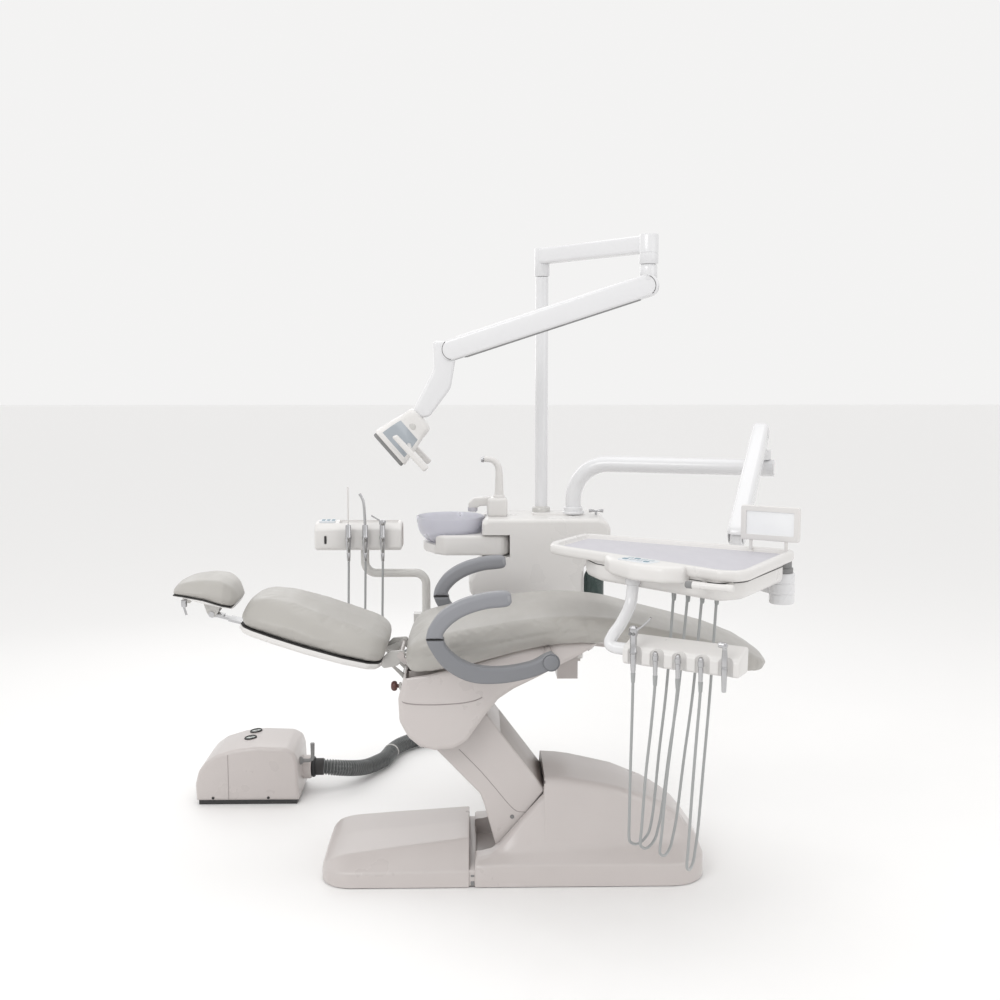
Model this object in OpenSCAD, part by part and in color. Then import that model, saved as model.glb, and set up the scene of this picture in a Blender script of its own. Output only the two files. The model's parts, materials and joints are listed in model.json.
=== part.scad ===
// Dental chair with a chair-mounted cuspidor tower, operating light, delivery tray and assistant's unit.
// Millimetres. +X is towards the patient's feet, +Y towards the cuspidor, +Z up.
// The origin is on the floor under the middle of the base plate.

/* [Base] */
// Length of the base plate
base_l = 1150; // [1140:1:1160]
// Width of the base plate
base_w = 436; // [424:2:440]
// Thickness of the base plate
base_t = 12; // [10:1:14]
// Wall of the plastic covers
wall = 4; // [3:0.5:5]

/* [Lift] */
// Length of the lift links between their pins
link_l = 420; // [410:1:424]
// Angle of the lift links above the floor at rest
link_deg = 48; // [46:0.5:49]
// Radius of the lift pins
pin_r = 12; // [10:0.5:14]
// Radial running clearance of every pin in its bore
run = 0.05; // [0.02:0.01:0.09]

/* [Upholstery] */
// Half-width of the seat cushion at the hips
seat_hw = 262; // [240:2:266]
// Length of the backrest cushion
back_l = 455; // [430:5:460]
// Angle of the backrest above the horizontal at rest
back_deg = 14.5; // [12:0.5:16]

/* [Tower and arms] */
// Height of the tower's top above the floor
tower_top = 1034; // [1030:1:1040]
// Radius of the lamp pole
pole_r = 23; // [18:1:26]
// Height of the lamp pole's top
pole_top = 1925; // [1900:1:1930]
// Outer radius of the delivery arm's tube
deliv_r = 28; // [24:1:29]
// Outer radius of the assistant arm's tube
assist_r = 15; // [12:1:16]
// Outer radius of the cuspidor bowl
bowl_r = 124; // [110:1:125]

/* [Tray] */
// Length of the tray's back edge
tray_l = 700; // [660:5:710]
// Depth of the tray at its narrow end
tray_d1 = 285; // [270:5:300]
// Depth of the tray at its wide end
tray_d2 = 470; // [450:5:480]
// Distance between two instruments in the holder
slot_pitch = 64; // [60:1:66]

/* [Hidden] */
$fn = 48;

// Lift geometry, as points in the X-Z plane
low_pin = [-4, 185];
pin_gap = [81, 65];
link_dir = [-cos(link_deg), sin(link_deg)];
link_out = [sin(link_deg), cos(link_deg)];
high_pin = low_pin + link_l * link_dir;
cheek_y = 103;
cheek_t = 12;

// Backrest geometry
back_pin = [-345, 690];
back_foot = [-388, 707];
head_pin = [-935, 806];

// Arms
light_elbow = [440, 180];
pole_at = [125, 660];
boom_low = [-195, 285, 1622];
boom_high = [440, 180, 1828];
tube_at = [239, 620];
tube_end = [878, 414, 1220];
arm_high = [866, 412, 1338];
arm_low = [700, -20, 1052];
hub_at = [786, -250];
lamp_pin = [-322, 285, 1372];
tray_at = [531, -83];
tray_deg = -31.3;
tray_top = 1040;
bowl_at = [-205, 640];
pod_pin = [-38, 540];
assist_at = [-290, 500];

// ---------- helpers ----------

// Straight round bar between two points
module bar(a, b, r) {
  d = b - a;
  h = norm(d);
  translate(a) rotate([0, acos(d[2] / h), atan2(d[1], d[0])]) cylinder(r = r, h = h);
}

// Solid slab with an X-Z outline, from y0 to y1
module side_slab(points, y0, y1) {
  translate([0, y1, 0]) rotate([90, 0, 0]) linear_extrude(y1 - y0) polygon(points);
}

// Round pin along Y through an X-Z point
module y_pin(at, r, y0, y1) {
  translate([at[0], y1, at[1]]) rotate([90, 0, 0]) cylinder(r = r, h = y1 - y0);
}

// Rounded plan outline, extruded upwards
module plan_slab(x0, x1, hw, r0, r1, z0, z1) {
  translate([0, 0, z0]) linear_extrude(z1 - z0) union() {
    translate([x0 + r0, -hw]) square([x1 - x0 - r0 - r1, 2 * hw]);
    for (s = [-1, 1]) {
      translate([x0 + r0, s * (hw - r0)]) circle(r0);
      translate([x1 - r1, s * (hw - r1)]) circle(r1);
    }
    translate([x0, r0 - hw]) square([r0, 2 * (hw - r0)]);
    translate([x1 - r1, r1 - hw]) square([r1, 2 * (hw - r1)]);
  }
}

// Hollow square-section steel beam
module box_beam(at, size, t = 5) {
  translate(at) difference() {
    cube(size);
    translate([t, t, t]) cube(size - 2 * [t, t, t]);
  }
}

// Quarter bend of a pipe in the X-Z plane, starting upwards and turning towards +X
module up_bend(bend_r, r, t) {
  translate([bend_r, 0, 0]) rotate([90, 0, 180]) rotate_extrude(angle = 90) translate([bend_r, 0]) difference() {
    circle(r);
    circle(r - t);
  }
}

// Straight pipe between two points
module pipe(a, b, r, t) {
  e = unit(b - a);
  difference() {
    bar(a, b, r);
    bar(a - e, b + e, r - t);
  }
}

// Hollow arm with round ends along +X, open below, and closed underneath in its middle
module channel_arm(len, h, w, t) {
  difference() {
    union() {
      translate([0, -w / 2, -h / 2]) cube([len, w, h]);
      for (x = [0, len]) translate([x, w / 2, 0]) rotate([90, 0, 0]) cylinder(r = h / 2, h = w);
    }
    translate([-h, t - w / 2, -h]) cube([len + 2 * h, w - 2 * t, 1.5 * h - t]);
  }
  translate([2 * h, -w / 2, -h / 2]) cube([len - 4 * h, w, t]);
  for (x = [0, len]) translate([x, w / 2, 0]) rotate([90, 0, 0]) cylinder(r = 8, h = w);
}

// Tongue that a channel arm turns on, with its post below
module tongue(h, w, post_h) {
  difference() {
    union() {
      translate([0, w / 2, 0]) rotate([90, 0, 0]) cylinder(r = h / 2, h = w);
      translate([-w / 2, -w / 2, -post_h]) cube([w, w, post_h]);
    }
    translate([0, w, 0]) rotate([90, 0, 0]) cylinder(r = 8 + run, h = 2 * w);
  }
}

// Places children at a point, turned so that +X points along a level heading
module heading(at, deg) {
  translate(at) rotate([0, 0, deg]) children();
}

// Places children in the tray's own frame: +X along the back edge, -Y towards the operator
module on_tray() {
  heading([tray_at[0], tray_at[1], 0], tray_deg) children();
}

function tray_world(p) = [
  tray_at[0] + p[0] * cos(tray_deg) - p[1] * sin(tray_deg),
  tray_at[1] + p[0] * sin(tray_deg) + p[1] * cos(tray_deg),
  p[2]
];

// ---------- swept hoses ----------

// Point at t on the smooth curve from b to c
function on_curve(a, b, c, d, t) =
  0.5 * (2 * b + (c - a) * t + (2 * a - 5 * b + 4 * c - d) * t * t + (3 * b - a - 3 * c + d) * t * t * t);

// Route with n steps between its points
function smooth(p, n) = [
  for (i = [0 : len(p) - 2], k = [0 : n - 1])
    on_curve(p[max(i - 1, 0)], p[i], p[i + 1], p[min(i + 2, len(p) - 1)], k / n),
  p[len(p) - 1]
];

function unit(v) = v / norm(v);
function along(p, i) = unit(p[min(i + 1, len(p) - 1)] - p[max(i - 1, 0)]);

// Round tube along a route; side is a direction that the route never follows
module hose(route, r, side, sides = 8, n = 3) {
  p = smooth(route, n);
  rings = len(p);
  points = [
    for (i = [0 : rings - 1])
      let (t = along(p, i), u = unit(cross(t, side)), v = cross(u, t))
        for (k = [0 : sides - 1]) p[i] + r * (cos(360 * k / sides) * u + sin(360 * k / sides) * v)
  ];
  faces = [
    [for (k = [0 : sides - 1]) k],
    for (i = [0 : rings - 2], k = [0 : sides - 1])
      [i * sides + k, (i + 1) * sides + k, (i + 1) * sides + (k + 1) % sides, i * sides + (k + 1) % sides],
    [for (k = [sides - 1 : -1 : 0]) (rings - 1) * sides + k]
  ];
  polyhedron(points, faces, convexity = 10);
}

// Routes: round numbers, first point at the outlet
supply_route = [
  [-722, 640, 90], [-690, 640, 90], [-655, 646, 85], [-620, 664, 76], [-588, 690, 66], [-560, 725, 55],
  [-530, 780, 42], [-500, 840, 36], [-475, 890, 34], [-460, 950, 34], [-446, 1010, 34], [-420, 1070, 34],
  [-380, 1122, 34], [-325, 1162, 34], [-255, 1184, 34], [-185, 1182, 34], [-115, 1160, 34],
  [-55, 1118, 34], [-10, 1060, 34], [20, 990, 34], [32, 910, 34], [35, 820, 34], [35, 720, 34],
  [35, 620, 34], [35, 520, 34], [35, 430, 36], [35, 350, 42], [35, 300, 46], [35, 260, 46]
];

// Hanging loops in the tray's frame: outlet, loop bottom, instrument
tray_out_x = [95, 137, 179, 221];
loop_x = [52, 80, 132, 205];
loop_z = [246, 240, 230, 206];
out_y = -330;
loop_y = -448;
rest_y = -533;
out_z = 954;
tail_z = 752;

// U-shaped loop from an outlet down to its lowest point and up to an instrument's tail
function loop_route(i) =
  let (
    o = [tray_out_x[i], out_y], b = [loop_x[i], loop_y], s = [slot_x(i), rest_y], z = loop_z[i],
    turn = [15, 45, 75, 105, 135, 165], half = 0.5 * (s - o) * 0.55
  )
  concat(
    [for (q = [[0, out_z], [0.06, out_z - 60], [0.3, out_z - 280], [0.62, z + 250], [0.86, z + 90]])
      tray_world([o[0] + q[0] * (b[0] - half[0] - o[0]), o[1] + q[0] * (b[1] - half[1] - o[1]), q[1]])],
    [for (a = turn) tray_world([b[0] - half[0] * cos(a), b[1] - half[1] * cos(a), z + 40 * (1 - sin(a))])],
    [for (q = [[0.14, z + 90], [0.38, z + 230], [0.7, tail_z - 160], [0.96, tail_z - 45], [1, tail_z]])
      tray_world([
        b[0] + half[0] + q[0] * (s[0] - b[0] - half[0]), b[1] + half[1] + q[0] * (s[1] - b[1] - half[1]), q[1]
      ])]
  );

function slot_x(i) = 63 + slot_pitch * i;

// Assistant's hoses: tails of the three instruments and their inlets on the arm's foot
tail_x = [-555, -497, -437];
tail_y = 425;
low_z = [536, 548, 560];
function assist_route(i) = [
  [tail_x[i], tail_y, 925], [tail_x[i], tail_y, 880], [tail_x[i] - 2, tail_y + 2, 780],
  [tail_x[i] - 3, tail_y + 6, 690], [tail_x[i] + 6, tail_y + 12, 610], [tail_x[i] + 36, tail_y + 20, low_z[i] + 12],
  [(tail_x[i] - 330) / 2, tail_y + 32 + 8 * i, low_z[i]], [-358, 470 + 14 * i, low_z[i] + 6],
  [-334, 480 + 14 * i, low_z[i] + 36], [-324, 486 + 14 * i, 620], [-322, 486 + 14 * i, 668]
];

// ---------- base ----------

module base_plate() {
  color("dimgray") plan_slab(-base_l / 2 - 2, base_l / 2 - 2, base_w / 2, 83, 98, 0, base_t);
}

// Space that the base plate takes under the covers
module plate_room() {
  translate([-base_l / 2 - 3, -base_w / 2 - 1, -1]) cube([base_l + 2, base_w + 2, base_t + 1.3]);
}

// Two welded cheeks with the lower pins of both lift links
module lift_bracket() {
  color("slategray") {
    for (s = [-1, 1]) difference() {
      y0 = s > 0 ? cheek_y : -cheek_y - cheek_t;
      union() {
        side_slab([
          [45, base_t], [180, base_t], [180, 40], low_pin + pin_gap + [24, -8], low_pin + pin_gap + [-8, 24],
          low_pin + [-16, 20], low_pin + [10, -24], [45, 90]
        ], y0, y0 + cheek_t);
        y_pin(low_pin, 27, y0, y0 + cheek_t);
        y_pin(low_pin + pin_gap, 25, y0, y0 + cheek_t);
      }
    }
    y_pin(low_pin, pin_r, -cheek_y - cheek_t - 4, cheek_y + cheek_t + 4);
    y_pin(low_pin + pin_gap, pin_r - 2, -cheek_y - cheek_t - 4, cheek_y + cheek_t + 4);
  }
}

// Half-shell over the front of the base plate, rising towards the lift
module front_cover() {
  module skin(g, low) {
    hull() {
      plan_slab(-590 + g, -137 - g, 230 - g, 95 - g, 4, 3 - low, 50 - g);
      translate([-512, -150 + g, 70 - g]) cube([375 - g, 300 - 2 * g, 8]);
      translate([-380, -135 + g, 90 - g]) cube([243 - g, 270 - 2 * g, 10]);
      translate([-160, -125 + g, 110 - g]) cube([23 - g, 250 - 2 * g, 12]);
    }
  }
  color("linen") difference() {
    skin(0, 0);
    skin(wall, 6);
    plate_room();
  }
}

// Rear cover with the hump behind the lift and the slot that the lift arm swings in
module rear_cover() {
  hump = [[95, 314], [182, 307], [323, 277], [419, 241], [513, 184], [555, 124], [540, 90], [95, 90]];
  module skin(g, low) {
    hull() {
      plan_slab(-119 + g, 590 - g, 230 - g, 4, 110 - g, 3 - low, 74 - g);
      translate([-119 + g, -192 + g, 80]) cube([600, 384 - 2 * g, 24 - g]);
      translate([0, 0, -g]) side_slab(hump, -132 + g, 132 - g);
    }
  }
  color("linen") {
    difference() {
      skin(0, 0);
      skin(wall, 6);
      plate_room();
      translate([-130, -145, 40]) cube([255, 290, 400]);
    }
    difference() {
      translate([35, 226, 46]) rotate([-90, 0, 0]) cylinder(r = 40, h = 34);
      translate([35, 225, 46]) rotate([-90, 0, 0]) cylinder(r = 26, h = 40);
      skin(wall / 2, 6);
    }
  }
}

// Hydraulic pump unit that drives the lift, bolted to the plate inside the hump
module lift_motor() {
  color("gray") {
    translate([210, -70, base_t]) cube([190, 140, 70]);
    translate([225, 0, base_t + 120]) rotate([0, 90, 0]) cylinder(r = 52, h = 150);
  }
}

// ---------- junction box ----------

box_side = [
  [-1121, 14], [-1123, 75], [-1111, 123], [-1085, 156], [-1049, 182], [-977, 204], [-906, 212], [-799, 208],
  [-767, 191], [-757, 158], [-752, 14]
];

module box_base() {
  color("black") translate([-1112, 498, 0]) cube([352, 236, 22]);
}

module box_cover() {
  inner = [
    [-1117, 0], [-1119, 74], [-1107, 121], [-1082, 152], [-1047, 178], [-976, 200], [-906, 208], [-800, 204],
    [-770, 188], [-761, 157], [-756, 0]
  ];
  color("linen") {
    difference() {
      side_slab(box_side, 490, 740);
      side_slab(inner, 494, 736);
      bar([-790, 560, 140], [-740, 560, 140], 5 + run);
    }
    translate([-758, 640, 90]) rotate([0, 90, 0]) difference() {
      cylinder(r = 41, h = 36);
      translate([0, 0, -1]) cylinder(r = 20, h = 38);
    }
  }
}

// Two pressure gauges let into the sloping top
module box_gauges() {
  // The box's top rises from one outline point to the next at this slope
  a = box_side[5];
  b = box_side[6];
  slope = (b[1] - a[1]) / (b[0] - a[0]);
  color("white") for (g = [[-944, 618], [-938, 700]])
    translate([g[0], g[1], a[1] + slope * (g[0] - a[0])]) rotate([0, -atan(slope), 0]) cylinder(r = 17, h = 5);
}

// Shut-off lever: a stem out of the box's end and a handle bent upwards
module valve_lever() {
  color("gray") {
    bar([-775, 560, 140], [-716, 560, 140], 5);
    bar([-716, 560, 140], [-716, 560, 196], 5);
    translate([-716, 560, 140]) sphere(5);
  }
}

module supply_hose() {
  color("dimgray") hose(supply_route, 30, [0, 0, 1], 12, 1);
}

// ---------- lift ----------

module lift_arm() {
  web = [
    low_pin + 34 * link_dir - 18 * link_out, high_pin - 36 * link_dir - 18 * link_out,
    high_pin - 36 * link_dir - 10 * link_out, low_pin + 34 * link_dir - 10 * link_out
  ];
  plate = [
    low_pin - 18 * link_out, high_pin - 18 * link_out, high_pin + 18 * link_out, low_pin + 18 * link_out
  ];
  color("slategray") {
    for (y0 = [-100, 90]) difference() {
      union() {
        side_slab(plate, y0, y0 + 10);
        y_pin(low_pin, 24, y0, y0 + 10);
        y_pin(high_pin, 24, y0, y0 + 10);
      }
      y_pin(low_pin, pin_r + run, y0 - 1, y0 + 11);
      y_pin(high_pin, pin_r + run, y0 - 1, y0 + 11);
    }
    side_slab(web, -91, 91);
  }
}

// Plastic sleeve around both links, open at its two ends, carried by the lower link
module arm_cover() {
  outer = [
    [-54, 89], [-35, 95], [20, 168], [98, 270], [-81, 509], low_pin + 322 * link_dir + 148 * link_out,
    low_pin + 322 * link_dir - 30 * link_out, [-103, 259], [-91, 227]
  ];
  bore = [
    [-46, 66], [30, 130], [140, 280], [94, 270], [-84, 505], low_pin + 345 * link_dir + 144 * link_out,
    low_pin + 345 * link_dir - 26 * link_out, [-99, 260], [-87, 228]
  ];
  color("linen") {
    difference() {
      side_slab(outer, -130, 130);
      side_slab(bore, -126, 126);
    }
    for (s = [-1, 1]) side_slab([
      low_pin + 200 * link_dir - 26.5 * link_out, low_pin + 240 * link_dir - 26.5 * link_out,
      low_pin + 240 * link_dir - 18 * link_out, low_pin + 200 * link_dir - 18 * link_out
    ], s * 75 - 8, s * 75 + 8);
  }
}

module upper_link() {
  a = low_pin + pin_gap;
  b = high_pin + pin_gap;
  color("slategray") for (y0 = [-74, 62]) difference() {
    union() {
      side_slab([a - 14 * link_out, b - 14 * link_out, b + 14 * link_out, a + 14 * link_out], y0, y0 + 12);
      y_pin(a, 19, y0, y0 + 12);
      y_pin(b, 19, y0, y0 + 12);
    }
    y_pin(a, pin_r - 2 + run, y0 - 1, y0 + 13);
    y_pin(b, pin_r - 1.6, y0 - 1, y0 + 13);
  }
}

// ---------- seat ----------

// Steel pan under the cushion, lugs for the lift links and the backrest, and the brackets of both units
module seat_frame() {
  pan = [
    [-306, 646], [-250, 658], [-132, 682], [14, 724], [102, 742], [200, 745], [299, 734], [460, 694],
    [600, 656], [597, 644], [458, 682], [298, 722], [200, 733], [103, 730], [16, 712], [-130, 670],
    [-248, 646], [-302, 634]
  ];
  lug = [[-318, 650], [-318, 485], [-268, 475], [-180, 545], [-172, 580], [-190, 668]];
  color("silver") {
    difference() {
      side_slab(pan, -150, 150);
      for (w = [[-255, 130], [-90, 90], [30, 60], [250, 170]]) translate([w[0], -112, 600]) cube([w[1], 224, 200]);
    }
    for (y0 = [-150, 140]) {
      side_slab(lug, y0, y0 + 10);
      y_pin(high_pin, 26, y0, y0 + 10);
      y_pin(high_pin + pin_gap, 24, y0, y0 + 10);
    }
    y_pin(high_pin, pin_r, -150, 150);
    y_pin(high_pin + pin_gap, pin_r - 2, -150, 150);
    for (y0 = [-104, 92]) {
      side_slab([[-306, 640], [-290, 646], [-336, 686], [-350, 680]], y0, y0 + 12);
      y_pin(back_pin, 11, y0, y0 + 12);
    }
    y_pin(back_pin, 7, -92, 92);
    // Post and beam to the tower, its foot plate, and the arm to the assistant's socket
    box_beam([146, 60, 572], [66, 100, 165]);
    box_beam([174, 150, 575], [42, 370, 62]);
    translate([20, 492, 522]) cube([238, 250, 8]);
    translate([174, 500, 526]) cube([42, 20, 60]);
    box_beam([-310, 140, 585], [40, 345, 30]);
    translate([-310, 140, 600]) cube([40, 10, 44]);
    difference() {
      translate([assist_at[0], assist_at[1], 556]) cylinder(r = 24, h = 100);
      translate([assist_at[0], assist_at[1], 575]) cylinder(r = assist_r + run, h = 100);
    }
    // Stub axles of the two armrests, in bushes on the pan
    for (s = [-1, 1]) {
      y_pin([100, 730], 12, s > 0 ? 149 : -368, s > 0 ? 338 : -149);
      y_pin([100, 730], 18, s > 0 ? 149 : -200, s > 0 ? 200 : -149);
    }
  }
}

casing_side = [
  [-330, 649], [-349, 578], [-346, 510], [-320, 460], [-284, 429], [-239, 416], [-178, 422], [-139, 447],
  [-109, 490], [-73, 539], [-43, 576], [2, 606], [77, 643], [137, 676], [197, 707], [233, 728], [256, 752],
  [200, 755], [136, 753], [102, 748], [14, 731], [-133, 688], [-252, 662]
];

// Boat-shaped housing, open below and above, with openings for the beam, the arm and the recline lever
module seat_casing() {
  room = [
    [-326, 700], [-325, 649], [-343, 577], [-340, 511], [-315, 463], [-281, 433], [-240, 380], [-100, 380],
    [60, 560], [225, 715], [250, 760], [100, 800], [-200, 760]
  ];
  color("linen") difference() {
    side_slab(casing_side, -207, 207);
    side_slab(room, -202, 202);
    translate([168, 195, 560]) cube([54, 30, 84]);
    translate([-314, 195, 580]) cube([48, 30, 40]);
    bar([-380, -100, 594], [-320, -100, 594], 4 + run);
    translate([-360, -75, 560]) cube([40, 150, 110]);
    translate([190, -152, 700]) cube([80, 304, 60]);
    y_pin([100, 730], 12.5, -220, 220);
  }
}

// Side outline of the seat and leg cushion
seat_side = [
  [-326, 690], [-322, 725], [-306, 750], [-270, 768], [-200, 784], [-100, 800], [0, 817], [100, 829],
  [200, 830], [294, 822], [400, 794], [500, 770], [626, 738], [726, 702], [775, 672], [792, 655],
  [786, 642], [760, 634], [700, 644], [600, 672], [460, 712], [299, 750], [200, 761], [102, 758],
  [14, 740], [-132, 698], [-250, 674], [-310, 664]
];

module seat_cushion() {
  plan = [
    [-326, 215], [-310, 240], [-250, seat_hw - 4], [-100, seat_hw], [100, seat_hw - 6], [260, 245], [400, 228],
    [560, 212], [680, 198], [740, 172], [778, 120], [792, 50]
  ];
  color("antiquewhite") intersection() {
    side_slab(seat_side, -seat_hw, seat_hw);
    linear_extrude(1000) polygon(concat(plan, [for (i = [len(plan) - 1 : -1 : 0]) [plan[i][0], -plan[i][1]]]));
  }
}

module release_knob() {
  color("maroon") {
    bar([-325, -100, 594], [-372, -100, 594], 4);
    bar([-372, -100, 594], [-384, -100, 594], 13);
  }
}

// ---------- tower ----------

// Cuspidor tower: a hollow column with a wider head, and a notch for the swinging pod
module tower_body() {
  side = [
    [12, 530], [268, 530], [268, 868], [352, 868], [362, 895], [362, 1000], [350, 1022],
    [322, tower_top], [-70, tower_top], [-92, tower_top - 16], [-92, 870], [-118, 850], [-140, 815],
    [-136, 770], [-95, 740], [-40, 728], [0, 700]
  ];
  inside = [
    [17, 500], [263, 500], [263, 874], [349, 874], [356, 896], [356, 998], [346, 1016],
    [320, tower_top - 5], [50, tower_top - 5], [50, 880], [-86, 868], [-114, 846], [-134, 814], [-130, 773],
    [-93, 746], [-38, 734], [5, 702]
  ];
  z0 = 899;
  notch = 79;
  color("white") difference() {
    side_slab(side, 482, 760);
    side_slab(inside, 487, 755);
    translate([170, 470, 570]) cube([50, 80, 72]);
    // Notch around the pod's pivot, open to the left and to the front
    translate([pod_pin[0], pod_pin[1], z0]) cylinder(r = 45, h = notch);
    translate([-150, 470, z0]) cube([150 + pod_pin[0], 300, notch]);
    translate([-150, 470, z0]) cube([156, 70, notch]);
    // Scoop that the bowl's rim reaches into
    translate([bowl_at[0], bowl_at[1], z0 + notch - 1]) cylinder(r = bowl_r + 8, h = 100);
    // Sockets for the delivery arm and the lamp pole
    translate([tube_at[0], tube_at[1], 980]) cylinder(r = deliv_r - 3 + run, h = 100);
    translate([pole_at[0], pole_at[1], 980]) cylinder(r = pole_r - 3 + run, h = 100);
    translate([320, 600, 1000]) cylinder(r = 3 + run, h = 100);
  }
}

module flow_knob() {
  color("silver") {
    translate([320, 600, 1002]) cylinder(r = 3, h = 48);
    bar([302, 600, 1052], [338, 600, 1052], 4);
  }
}

module light_pole() {
  color("white") {
    translate([pole_at[0], pole_at[1], 990]) cylinder(r = pole_r - 3, h = 60);
    translate([pole_at[0], pole_at[1], tower_top]) cylinder(r = pole_r, h = pole_top - 40 - tower_top);
    translate([pole_at[0], pole_at[1], tower_top]) cylinder(r = pole_r + 10, h = 7);
    translate([pole_at[0], pole_at[1], pole_top - 90]) cylinder(r = 13, h = 90);
  }
}

// Clean-water bottle hanging under the tower's head
module water_bottle() {
  color("darkseagreen") {
    translate([310, 560, 640]) cylinder(r = 36, h = 190);
    translate([310, 560, 828]) cylinder(r1 = 36, r2 = 22, h = 18);
    translate([310, 560, 844]) cylinder(r = 24, h = 24);
  }
}

module faucet_block() {
  color("white") {
    translate([-74, 560, tower_top]) cube([74, 80, 66]);
    translate([-132, 575, tower_top + 42]) cube([60, 34, 24]);
    translate([-128, 592, tower_top + 22]) cylinder(r = 13, h = 24);
  }
}

module cup_filler() {
  color("white") {
    translate([-30, 600, tower_top + 66.3]) cylinder(r = 16, h = 80);
    translate([-30, 600, tower_top + 140]) cylinder(r = 13, h = 30);
    translate([-30, 600, tower_top + 170]) rotate([0, 0, 180]) up_bend(30, 13, 12);
    translate([-60, 600, tower_top + 200]) rotate([0, -90, 0]) cylinder(r = 10, h = 22);
  }
}

// Swinging arm that carries the bowl
module bowl_pod() {
  z0 = 902;
  h = 73;
  color("white") {
    difference() {
      union() {
        translate([pod_pin[0], pod_pin[1], z0]) cylinder(r = 40, h = h);
        translate([-205, 500, z0]) cube([200 + pod_pin[0], 150, h]);
        translate([bowl_at[0], bowl_at[1], z0 - 6]) cylinder(r = 98, h = 40);
      }
      translate([bowl_at[0], bowl_at[1], z0 + 33]) cylinder(r = bowl_r + 2, h = 80);
    }
  }
}

// Spittoon bowl with its drain
module bowl() {
  z0 = 935;
  color("lavender") translate([bowl_at[0], bowl_at[1], z0]) rotate_extrude() polygon([
    [14, 0], [62, 0], [92, 10], [112, 34], [121, 62], [bowl_r, 92], [bowl_r - 5, 92], [115, 63], [107, 38],
    [88, 15], [60, 6], [14, 4]
  ]);
}

// ---------- armrests ----------

arm_outer_low = [[118, 742], [122, 728], [98, 706], [41, 683], [-46, 667], [-132, 672], [-204, 711], [-244, 764], [-258, 796]];
arm_inner_low = [[-206, 796], [-199, 774], [-166, 742], [-115, 718], [-40, 713], [40, 727], [80, 748], [102, 756]];
arm_outer_high = [[-258, 797], [-250, 826], [-217, 874], [-160, 909], [-89, 929], [-31, 934], [-16, 922]];
arm_inner_high = [[-14, 903], [-26, 891], [-85, 884], [-140, 867], [-180, 843], [-206, 812], [-208, 797]];

module armrest_bracket(y0) {
  color("slategray") difference() {
    union() {
      side_slab(concat(arm_outer_low, arm_inner_low), y0, y0 + 46);
      y_pin([100, 730], 26, y0, y0 + 46);
    }
    y_pin([100, 730], 12 + run, y0 - 1, y0 + 47);
  }
}

module armrest_pad(y0) {
  color("lightslategray") side_slab(concat(arm_outer_high, arm_inner_high), y0 - 2, y0 + 48);
}

module near_armrest_bracket() { armrest_bracket(-362); }
module near_armrest_pad() { armrest_pad(-362); }
module far_armrest_bracket() { armrest_bracket(288); }
module far_armrest_pad() { armrest_pad(288); }

// ---------- backrest and headrest ----------

// Places children with +X along the backrest towards the head and +Z out of its cushion
module on_back() {
  translate([back_foot[0], 0, back_foot[1]]) rotate([0, back_deg, 0]) mirror([1, 0, 0]) children();
}

// Half-width of the backrest at a distance from its lower end
back_plan = [[0, 150], [8, 185], [40, 214], [120, 226], [240, 214], [340, 190], [410, 166], [440, 146], [back_l, 110]];

module mirrored_plan(p) {
  polygon(concat(p, [for (i = [len(p) - 1 : -1 : 0]) [p[i][0], -p[i][1]]]));
}

module backrest_cushion() {
  side = [
    [0, -12], [4, 22], [22, 40], [80, 50], [230, 54], [370, 48], [430, 38], [450, 20], [back_l, -4],
    [448, -20], [430, -28], [20, -28]
  ];
  color("antiquewhite") on_back() intersection() {
    side_slab(side, -240, 240);
    translate([0, 0, -100]) linear_extrude(200) mirrored_plan(back_plan);
  }
}

module backrest_shell() {
  side = [[16, -29], [436, -29], [440, -36], [380, -50], [230, -58], [90, -56], [20, -44]];
  color("linen") on_back() difference() {
    intersection() {
      side_slab(side, -240, 240);
      translate([0, 0, -100]) linear_extrude(200) mirrored_plan([for (q = back_plan) [q[0], q[1] - 8]]);
    }
    // Room for the frame's plate and for the sliding headrest bar
    translate([10, -110, -42]) cube([250, 220, 14]);
    translate([250, -34, -51.2]) cube([300, 68, 9.4]);
  }
}

// Steel plate in the shell, two side arms to the hinge and the recline lever
module backrest_frame() {
  // Outlines along the backrest, with the hinge pin's place in the same frame
  d = back_pin - back_foot;
  pin = [-d[0] * cos(back_deg) + d[1] * sin(back_deg), d[0] * sin(back_deg) + d[1] * cos(back_deg)];
  arm = [[60, -41], [-2, -41], [-52, -14], [-54, -2], [-44, 3], [-36, -4], [0, -30], [14, -36], [60, -36]];
  lever = [[40, -41], [0, -41], [-76, -88], [-80, -78], [-66, -70], [10, -33], [40, -36]];
  color("gray") {
    on_back() {
      translate([12, -108, -41]) cube([246, 216, 5]);
      for (y0 = [-90, 78]) difference() {
        union() {
          side_slab(arm, y0, y0 + 12);
          y_pin(pin, 12, y0, y0 + 12);
        }
        y_pin(pin, 7 + run, y0 - 1, y0 + 13);
      }
      for (y0 = [-60, 48]) side_slab(lever, y0, y0 + 12);
      y_pin([-71, -79], 6, -60, 60);
    }
  }
}

// Flat bar that slides out of the backrest, with the headrest's hinge barrel
module headrest_bar() {
  color("silver") {
    on_back() {
      translate([270, -30, -50]) cube([230, 60, 7]);
      translate([490, -16, -50]) cube([48, 32, 7]);
    }
    difference() {
      union() {
        y_pin(head_pin, 13, -19, 19);
        side_slab([[-900, 800], [-902, 793], [-935, 794], [-938, 806]], -17.5, 17.5);
      }
      y_pin(head_pin, 6 + run, -21, 21);
    }
  }
}

head_plan = [[-1044, 70], [-1036, 104], [-1005, 128], [-940, 136], [-885, 130], [-855, 108], [-842, 60]];

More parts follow.
